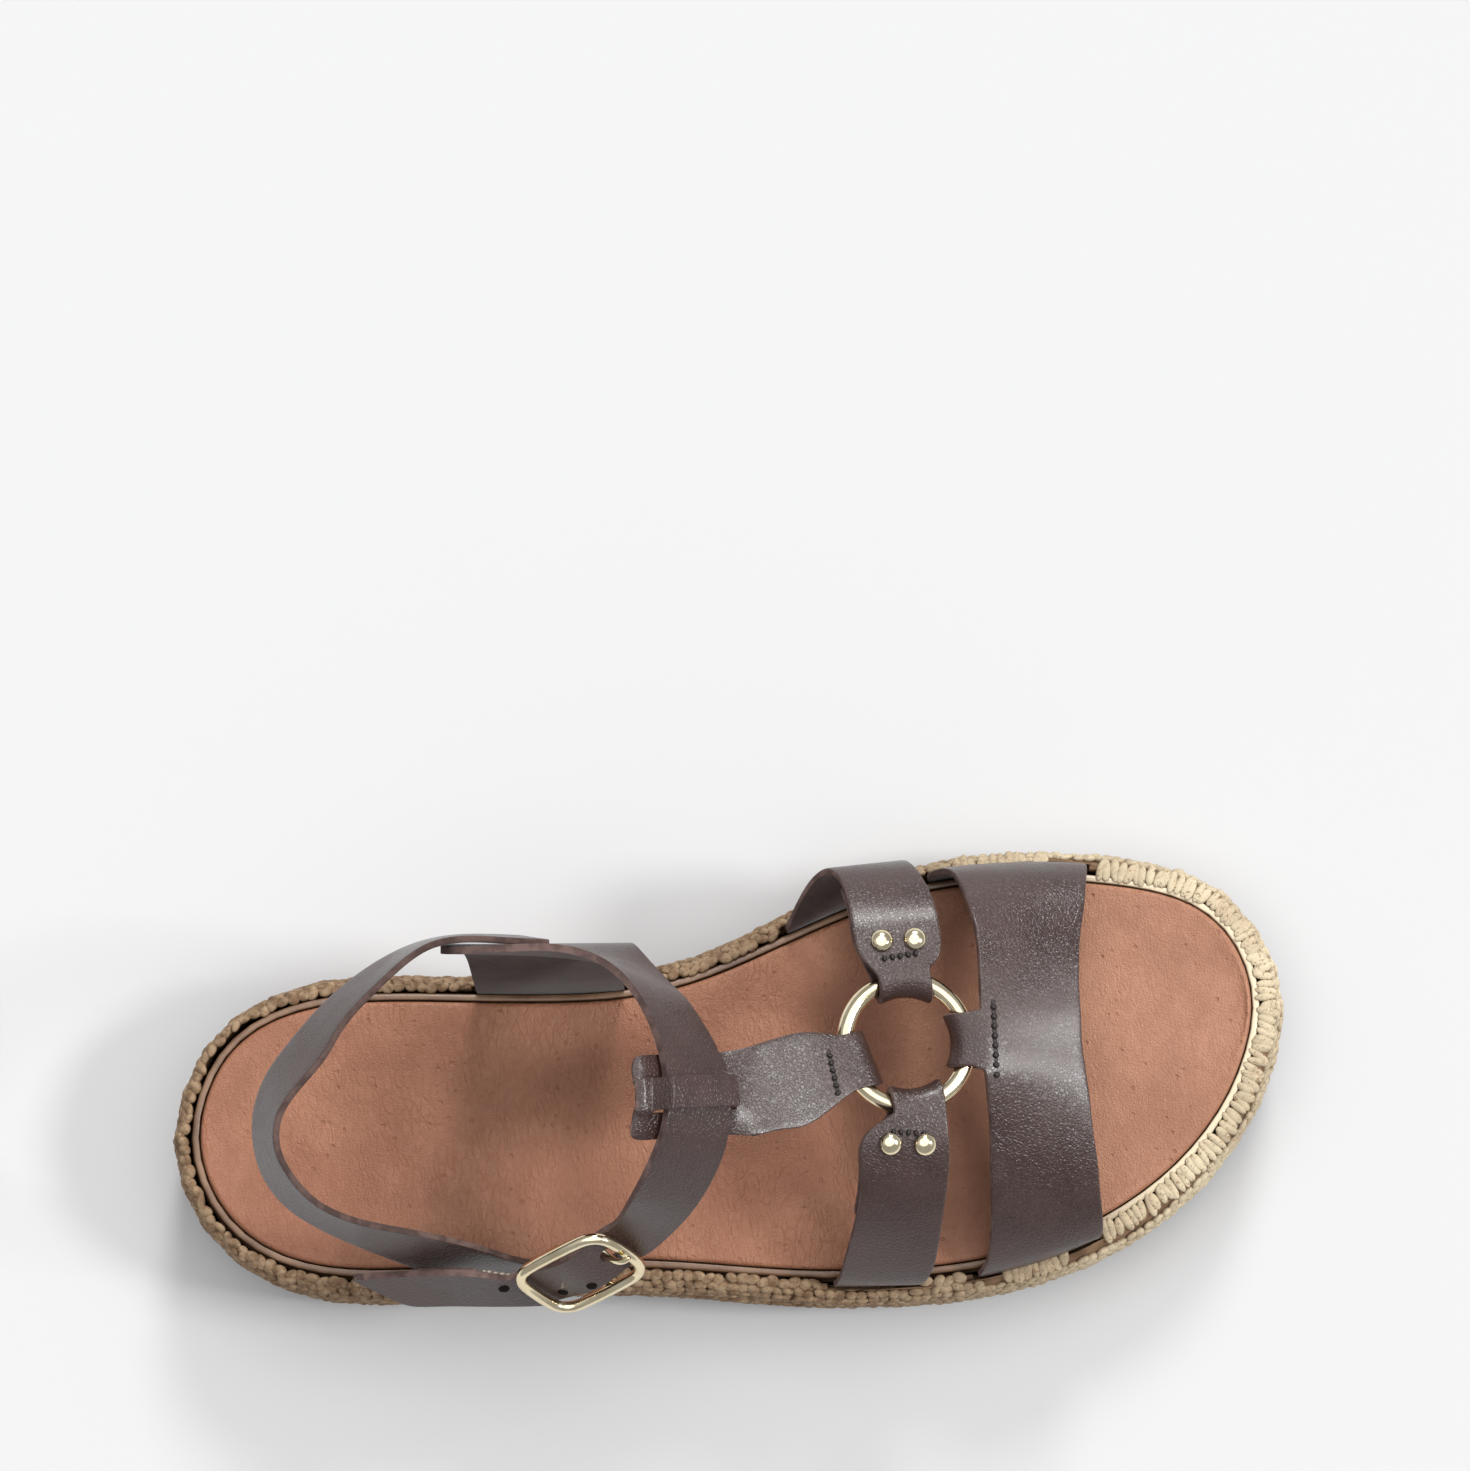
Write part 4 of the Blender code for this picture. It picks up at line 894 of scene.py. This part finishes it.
@dataclass
class JuteWrap:
    """Braided jute: rows of lumps round the shoulder and down the side."""

    pitch: float = 0.0025
    row_height: float = 0.0021
    lump_length: float = 0.0034
    lump_width: float = 0.0026
    lump_height: float = 0.00085
    pleat_pitch: float = 0.0017
    pleat_length: float = 0.0054
    pleat_flat: float = 0.75
    sink: float = 0.00045
    stations: int = 360
    pocket_span: int = 3
    shoulder_drop: float = 0.0060
    shoulder_angles: Range = (8.0, 30.0, 54.0, 82.0)
    pleat_angle: float = 82.0
    pleats_from: float = 0.055
    probes: Range = (
        0.0015, 0.0025, 0.0030, 0.0035, 0.0040, 0.0045, 0.0050, 0.0055, 0.0060)
    wall_height: float = 0.010
    ray_spread: Range = (1.3, 1.6)
    ray_start: float = 0.02
    crest: float = 0.0016
    broken: float = 0.008
    pocket_depth: float = 0.0025
    reach: float = 0.03
    pleat_tilt: Range = (68.0, 100.0)
    plait_tilt: Range = (0.0, 50.0)
    turned_every: int = 4
    turned_share: float = -0.8
    length_spread: Range = (0.82, 1.15)
    width_spread: Range = (0.75, 1.15)
    height_spread: Range = (0.75, 1.2)
    wander_along: float = 0.0004
    wander_across: float = 0.0003
    core_inset: float = 0.00035
    foot_share: float = 0.45
    crown_middle: float = 0.55
    crown_rise: float = 1.1
    crown_fall: float = 0.55
    crown_taper: float = 0.8
    seed: int = 7
    wall: BVHTree | None = None
    spots: list[tuple[Vector, Vector, float, float, float]] = field(default_factory=list)

    def find_stations(self) -> None:
        """Find the outer wall, its outward direction and its top and foot all round."""
        self.wall = surface_tree(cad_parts["jute_wrap"])
        low, high = (Vector(corner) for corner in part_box("jute_wrap"))
        middle = (low + high) / 2
        half = (high - low) / 2
        mid_height = low.z + self.wall_height
        points = []
        for index in range(self.stations):
            angle = 2.0 * math.pi * index / self.stations
            aim = Vector((middle.x + (half.x - half.y) * math.cos(angle), middle.y, mid_height))
            edge = Vector((middle.x + half.x * self.ray_spread[0] * math.cos(angle),
                           middle.y + half.y * self.ray_spread[1] * math.sin(angle), mid_height))
            hit = self.wall.ray_cast(edge, (aim - edge).normalized())
            points.append(hit[0])
        count = len(points)
        for index, point in enumerate(points):
            along = points[(index + 1) % count] - points[index - 1]
            outward = Vector((along.y, -along.x, 0.0)).normalized()
            if outward.dot(point - middle) < 0.0:
                outward.negate()
            inner = point - outward * self.probes[0]
            foot = self.wall.ray_cast(Vector((inner.x, inner.y, -self.ray_start)),
                                      Vector((0, 0, 1)))
            tops = {}
            for depth in self.probes:
                probe = point - outward * depth
                hit = self.wall.ray_cast(Vector((probe.x, probe.y, high.z + self.ray_start)),
                                         Vector((0, 0, -1)))
                if hit[0] is not None:
                    tops[depth] = hit[0].z
            top = max(tops.values())
            width = max(depth for depth, height in tops.items() if height > top - self.crest)
            self.spots.append((point, outward, top, foot[0].z, width))
        self.even_spots()

    def even_spots(self) -> None:
        """Smooth the top and the width round the sole, over the pockets of the straps."""
        count = len(self.spots)
        reach = range(-self.pocket_span, self.pocket_span + 1)
        tops = [max(self.spots[(i + k) % count][2] for k in reach) for i in range(count)]
        widths = [max(self.spots[(i + k) % count][4] for k in reach) for i in range(count)]
        for index, (point, outward, _, foot, _) in enumerate(self.spots):
            top = sum(tops[(index + k) % count] for k in reach) / len(reach)
            width = sum(widths[(index + k) % count] for k in reach) / len(reach)
            self.spots[index] = (point, outward, top, foot, width)

    def evened(self, line: list[tuple[Vector, Vector] | None], pitch: float, start: float
               ) -> list[tuple[Vector, Vector, Vector]]:
        """Points at equal steps along a row's closed line.

        Args:
            line: point and normal at each station, or None where the row is broken.
            pitch: distance between points.
            start: share of the pitch before the first point.

        Returns:
            Point, normal and direction of each step.
        """
        placed = []
        travelled = pitch * (1.0 - start)
        count = len(line)
        for index in range(count):
            here, after = line[index], line[(index + 1) % count]
            if here is None or after is None:
                continue
            step = after[0] - here[0]
            length = step.length
            if length > self.broken or length == 0.0:
                continue
            position = pitch - travelled
            while position < length:
                share = position / length
                placed.append((here[0].lerp(after[0], share),
                               here[1].lerp(after[1], share).normalized(), step.normalized()))
                position += pitch
            travelled = length - (position - pitch)
        return placed

    def shoulder_line(self, degrees: float) -> list[tuple[Vector, Vector] | None]:
        """Line round the shoulder at an angle above the horizontal.

        Args:
            degrees: the angle.

        Returns:
            Point and normal at each station, or None over a strap's pocket.
        """
        angle = math.radians(degrees)
        line = []
        up = Vector((0, 0, 1))
        for point, outward, top, _, width in self.spots:
            spot = point - outward * width * (1.0 - math.cos(angle))
            spot.z = top - self.shoulder_drop * (1.0 - math.sin(angle))
            normal = (outward * math.cos(angle) / width
                      + up * math.sin(angle) / self.shoulder_drop).normalized()
            hit = self.wall.ray_cast(spot + up * self.reach, -up)
            deep = hit[0] is None or hit[0].z < spot.z - self.pocket_depth
            line.append(None if deep and angle > math.pi / 4 else (spot, normal))
        return line

    def side_line(self, share: float) -> list[tuple[Vector, Vector] | None]:
        """Line round the side, between the shoulder and the foot.

        Args:
            share: share of the way down.

        Returns:
            Point and normal at each station, or None where the wall is missed.
        """
        line = []
        for point, outward, top, foot, _ in self.spots:
            start = top - self.shoulder_drop
            height = start + (foot + self.row_height * self.foot_share - start) * share
            origin = Vector((point.x, point.y, height)) + outward * self.reach
            hit = self.wall.ray_cast(origin, -outward)
            line.append((hit[0], outward) if hit[0] is not None else None)
        return line

    def lump(self) -> bpy.types.Mesh:
        """One lump with its length along X and a value that is 1 on its crown.

        Returns:
            The mesh, one unit long, wide and high.
        """
        builder = bmesh.new()
        turn = Matrix.Rotation(math.pi / 2, 4, "Y")
        bmesh.ops.create_uvsphere(
            builder, u_segments=8, v_segments=6, radius=0.5, matrix=turn, calc_uvs=True)
        # The crown value steers the jute's painted shade on the lumps' sides and between them.
        layer = builder.verts.layers.float.new(CROWN)
        for vertex in builder.verts:
            side = math.hypot(vertex.co.y, vertex.co.x * self.crown_taper)
            crown = self.crown_middle + vertex.co.z * self.crown_rise - side * self.crown_fall
            vertex[layer] = max(0.0, min(1.0, crown))
        data = bpy.data.meshes.new("jute_lump")
        builder.to_mesh(data)
        builder.free()
        return data

    def braid(self, name: str, rows: list[tuple[list, Braid, float]]) -> None:
        """Make one piece from several rows.

        Args:
            name: the piece's name.
            rows: line, kind and start of each row.
        """
        template = self.lump()
        draw = Random(self.seed)
        builder = bmesh.new()
        for number, (line, kind, start) in enumerate(rows):
            pleats = kind is Braid.PLEATS
            pitch = self.pleat_pitch if pleats else self.pitch
            for index, (point, normal, along) in enumerate(self.evened(line, pitch, start)):
                across = normal.cross(along).normalized()
                tilt = math.radians(draw.uniform(*self.pleat_tilt) if pleats else
                                    draw.uniform(*self.plait_tilt) * (1 if number % 2 else -1))
                if not pleats and index % self.turned_every == self.turned_every - 1:
                    tilt *= self.turned_share
                length = self.pleat_length if pleats else self.lump_length
                size = Vector((length * draw.uniform(*self.length_spread),
                               self.lump_width * draw.uniform(*self.width_spread),
                               2.0 * self.lump_height * draw.uniform(*self.height_spread)))
                if pleats:
                    size.z *= self.pleat_flat
                turned = along * math.cos(tilt) + across * math.sin(tilt)
                side = normal.cross(turned).normalized()
                axes = Matrix((turned, side, normal)).transposed().to_4x4()
                middle = point - normal * self.sink
                middle += along * draw.uniform(-self.wander_along, self.wander_along)
                middle += across * draw.uniform(-self.wander_across, self.wander_across)
                place = Matrix.Translation(middle) @ axes @ Matrix.Diagonal((*size, 1.0))
                one = template.copy()
                one.transform(place)
                builder.from_mesh(one)
                bpy.data.meshes.remove(one)
        bpy.data.meshes.remove(template)
        nodes = ("jute_wrap",) if name == "jute_side_braid" else ()
        finished(builder, name, [JUTE], nodes)

    def core(self) -> None:
        """Plain jute between the rows, just under the lumps."""
        builder = merged_node("jute_wrap")
        bmesh.ops.recalc_face_normals(builder, faces=builder.faces[:])
        builder.normal_update()
        for vertex in builder.verts:
            vertex.co -= vertex.normal * self.core_inset
        finished(builder, "jute_core", [JUTE_CORE])

    def build(self) -> None:
        """Make the backing and the braided rows."""
        self.find_stations()
        self.core()
        shoulder = []
        for number, degrees in enumerate(self.shoulder_angles):
            line = self.shoulder_line(degrees)
            if number >= len(self.shoulder_angles) - 2:
                line = [spot if spot and spot[0].x <= self.pleats_from else None for spot in line]
            shoulder.append((line, Braid.PLAIT, 0.5 * (number % 2)))
        pleats = [spot if spot and spot[0].x > self.pleats_from else None
                  for spot in self.shoulder_line(self.pleat_angle)]
        shoulder.append((pleats, Braid.PLEATS, 0.0))
        self.braid("jute_shoulder_braid", shoulder)
        tallest = max(spot[2] - spot[3] for spot in self.spots) - self.shoulder_drop
        count = round(tallest / self.row_height)
        rows = [(self.side_line((row + 0.5) / count), Braid.PLAIT, 0.5 * (row % 2))
                for row in range(count)]
        self.braid("jute_side_braid", rows)


@dataclass
class Hardware:
    """Ring, studs, buckle and prong, polished."""

    sharp: float = math.radians(55)
    shrink: float = 0.095
    frame_ease: float = 0.3
    stud_round: float = 0.00025

    def fuller(self, node: str) -> Shape:
        """Copy of a wire that keeps its thickness when it is subdivided.

        Args:
            node: CAD node of round wire.

        Returns:
            The copy, its skin moved out by what the subdivision takes away.
        """
        builder = merged_node(node)
        bmesh.ops.recalc_face_normals(builder, faces=builder.faces[:])
        builder.normal_update()
        radius = 2.0 * builder.calc_volume() / sum(face.calc_area() for face in builder.faces)
        for vertex in builder.verts:
            vertex.co += vertex.normal * radius * self.shrink
        return builder

    def build(self) -> None:
        """Make each metal piece from its solid, and the elastic from its own."""
        for node in ("ring", "buckle_prong"):
            finished(self.fuller(node), node + "_gold", [GOLD], (node,), 2)
        builder = merged_node("buckle_frame")
        bmesh.ops.smooth_vert(builder, verts=builder.verts[:], factor=self.frame_ease,
                              use_axis_x=True, use_axis_y=True, use_axis_z=True)
        finished(builder, "buckle_frame_gold", [GOLD], ("buckle_frame",), 1)
        for side in ("medial", "lateral"):
            for number in (1, 2):
                node = "stud_{}_{}".format(side, number)
                builder = merged_node(node)
                round_edges(builder, self.sharp, self.stud_round)
                finished(builder, node + "_gold", [GOLD], (node,), 2)
        builder = merged_node("elastic_band")
        finished(builder, "elastic_ribbed", [ELASTIC], ("elastic_band",), 1)


@dataclass(frozen=True)
class StitchRow:
    """A straight row of hand stitches seen from above, in metres."""

    name: str
    start: tuple[float, float]
    end: tuple[float, float]
    count: int
    carrier: str
    thick: float = 0.0016
    skew: float = 0.00050


@dataclass
class Details:
    """Stitches, and painted shade of punched holes, set on the straps by ray casts."""

    straps: LeatherStraps
    fill: float = 0.66
    rows: tuple[StitchRow, ...] = (
        StitchRow("toe_tab_stitches", (0.0608, 0.0136), (0.0597, -0.0040), 8, "toe_strap"),
        StitchRow("medial_stitches", (0.0362, 0.0256), (0.0452, 0.0262), 5, "medial_strap"),
        StitchRow("lateral_stitches", (0.0340, -0.0135), (0.0425, -0.0149), 5, "lateral_strap"),
        StitchRow("bar_stitches", (0.0221, 0.0055), (0.0233, -0.0048), 6, "t_bar"),
    )
    holes: tuple[tuple[float, float], ...] = (
        (-0.0366, -0.0409), (-0.0433, -0.0414), (-0.0565, -0.0393))
    hole_radius: float = 0.0013
    hole_taper: float = 0.96
    pit_depth: float = 0.0003
    hole_sink: float = 0.00006
    look_ahead: float = 0.3
    flatness: float = 0.8
    lift: float = 0.00008
    from_above: float = 0.2

    def spot(self, tree: BVHTree, x: float, y: float) -> tuple[Vector, Vector] | None:
        """Top point and normal of a carrier's faces at a place, or None beside it."""
        hit = tree.ray_cast(Vector((x, y, self.from_above)), Vector((0, 0, -1)))
        return (hit[0], hit[1]) if hit[0] is not None else None

    def stitch_row(self, row: StitchRow) -> None:
        """Thread of one row: rounded bars with a small dark pit between each two, painted shade of
        the stitch hole in the thread's colour.

        Args:
            row: the row.
        """
        tree = surface_tree(self.straps.pieces[row.carrier])
        start, end = Vector((*row.start, 0.0)), Vector((*row.end, 0.0))
        step = (end - start) / row.count
        builder = bmesh.new()
        for index in range(row.count):
            middle = start + step * (index + 0.5)
            found = self.spot(tree, middle.x, middle.y)
            beyond = middle + step * self.look_ahead
            ahead = self.spot(tree, beyond.x, beyond.y)
            if found is None or ahead is None:
                continue
            point, normal = found
            along = (ahead[0] - point).normalized()
            side = normal.cross(along).normalized()
            turn = row.skew / row.thick * (1 if index % 2 else -1)
            along = (side.cross(normal) + side * turn).normalized()
            side = normal.cross(along).normalized()
            axes = Matrix((along, side, normal)).transposed().to_4x4()
            length = step.length * self.fill
            flat = row.thick * self.flatness
            size = Matrix.Diagonal((length, row.thick, flat, 1.0))
            place = Matrix.Translation(point + normal * self.lift) @ axes @ size
            bmesh.ops.create_uvsphere(
                builder, u_segments=12, v_segments=8, radius=0.5,
                matrix=place @ Matrix.Rotation(math.pi / 2, 4, "Y"))
            # Dark pit at the stitch hole: painted shade, made from the thread's material.
            pit_shade_place = Matrix.Translation(point - step * 0.5) @ axes
            bmesh.ops.create_uvsphere(
                builder, u_segments=10, v_segments=6, radius=0.5,
                matrix=pit_shade_place @ Matrix.Diagonal((flat, flat, self.pit_depth, 1.0)))
        finished(builder, row.name, [THREAD])

    def punched_holes(self) -> None:
        """Dark pits of painted shade at the spare holes near the buckle."""
        tree = surface_tree(self.straps.pieces["ankle_strap"])
        builder = bmesh.new()
        for x, y in self.holes:
            found = self.spot(tree, x, y)
            if found is None:
                continue
            point, normal = found
            # Each hole is a dark cone of painted shade set into the strap's surface, not a cut.
            axes = normal.to_track_quat("Z", "Y").to_matrix().to_4x4()
            bmesh.ops.create_cone(
                builder, cap_ends=True, segments=20, radius1=self.hole_radius,
                radius2=self.hole_radius * self.hole_taper, depth=self.pit_depth,
                matrix=Matrix.Translation(point - normal * self.hole_sink) @ axes)
        finished(builder, "strap_hole_shade", [PUNCH_HOLE_SHADE])

    def build(self) -> None:
        """Make all the stitches and holes."""
        for row in self.rows:
            self.stitch_row(row)
        self.punched_holes()


@dataclass
class Studio:
    """Pale floor, soft light and the camera."""

    camera_place: Vector = field(default_factory=lambda: Vector((-0.0113, -0.1020, 1.433)))
    camera_aim: Vector = field(default_factory=lambda: Vector((0.0091, 0.0837, 0.033)))
    camera_right: Vector = field(default_factory=lambda: Vector((0.9945, -0.1045, 0.0)))
    lens: float = 148.5
    sensor: float = 36.0
    floor_size: float = 8.0
    floor_drop: float = 0.0002
    floor_colour: Colour = (0.62, 0.62, 0.62)
    floor_rough: float = 0.9
    floor_specular: float = 0.1
    world_colour: Colour = (0.95, 0.96, 1.0)
    world_strength: float = 0.38
    lamps: tuple[tuple[str, Vector, float, float], ...] = (
        ("top", Vector((0.02, 0.10, 1.00)), 70.0, 1.40),
        ("key", Vector((0.25, 0.55, 1.00)), 22.0, 0.20),
        ("left", Vector((-0.70, 0.10, 0.90)), 40.0, 0.10),
        ("toe", Vector((0.73, -0.10, 0.68)), 12.0, 1.50),
        ("medial", Vector((0.20, 0.82, 0.55)), 15.0, 1.60),
    )

    def floor(self) -> None:
        """Large pale floor under the sole."""
        builder = bmesh.new()
        bmesh.ops.create_grid(builder, x_segments=1, y_segments=1, size=self.floor_size / 2)
        bmesh.ops.translate(builder, verts=builder.verts[:], vec=(0, 0, -self.floor_drop))
        floor = linked(builder, "floor")
        material = bpy.data.materials.new("pale_floor")
        material.use_nodes = True
        shader = material.node_tree.nodes["Principled BSDF"]
        shader.inputs["Base Color"].default_value = (*self.floor_colour, 1.0)
        shader.inputs["Roughness"].default_value = self.floor_rough
        shader.inputs["Specular IOR Level"].default_value = self.floor_specular
        floor.data.materials.append(material)

    def light(self) -> None:
        """Far lamps, each with a direction, a width in degrees and a strength, and the world."""
        for name, place, width, power in self.lamps:
            lamp = bpy.data.lights.new(name, "SUN")
            lamp.angle = math.radians(width)
            lamp.energy = power
            holder = bpy.data.objects.new(name, lamp)
            holder.location = place
            holder.rotation_euler = (-place).to_track_quat("-Z", "Y").to_euler()
            bpy.context.scene.collection.objects.link(holder)
        world = bpy.data.worlds.new("studio")
        world.use_nodes = True
        sky = world.node_tree.nodes["Background"]
        sky.inputs[0].default_value = (*self.world_colour, 1.0)
        sky.inputs[1].default_value = self.world_strength
        bpy.context.scene.world = world

    def camera(self) -> None:
        """Camera at the photograph's viewing angle."""
        lens = bpy.data.cameras.new("camera")
        lens.lens = self.lens
        lens.sensor_width = self.sensor
        lens.clip_start = 0.05
        holder = bpy.data.objects.new("camera", lens)
        back = (self.camera_place - self.camera_aim).normalized()
        up = back.cross(self.camera_right).normalized()
        right = up.cross(back)
        holder.matrix_world = (
            Matrix.Translation(self.camera_place)
            @ Matrix((right, up, back)).transposed().to_4x4())
        bpy.context.scene.collection.objects.link(holder)
        bpy.context.scene.camera = holder

    def build(self) -> None:
        """Set the stage."""
        self.floor()
        self.light()
        self.camera()
        bpy.context.scene.view_settings.view_transform = "Standard"


def main() -> None:
    """Build the sandal's looks and its studio."""
    logging.basicConfig(level=logging.INFO, format="%(name)s: %(message)s")
    Footbed().build()
    JuteWrap().build()
    straps = LeatherStraps()
    straps.build()
    Hardware().build()
    Details(straps).build()
    Studio().build()


if __name__ == "__main__":
    main()
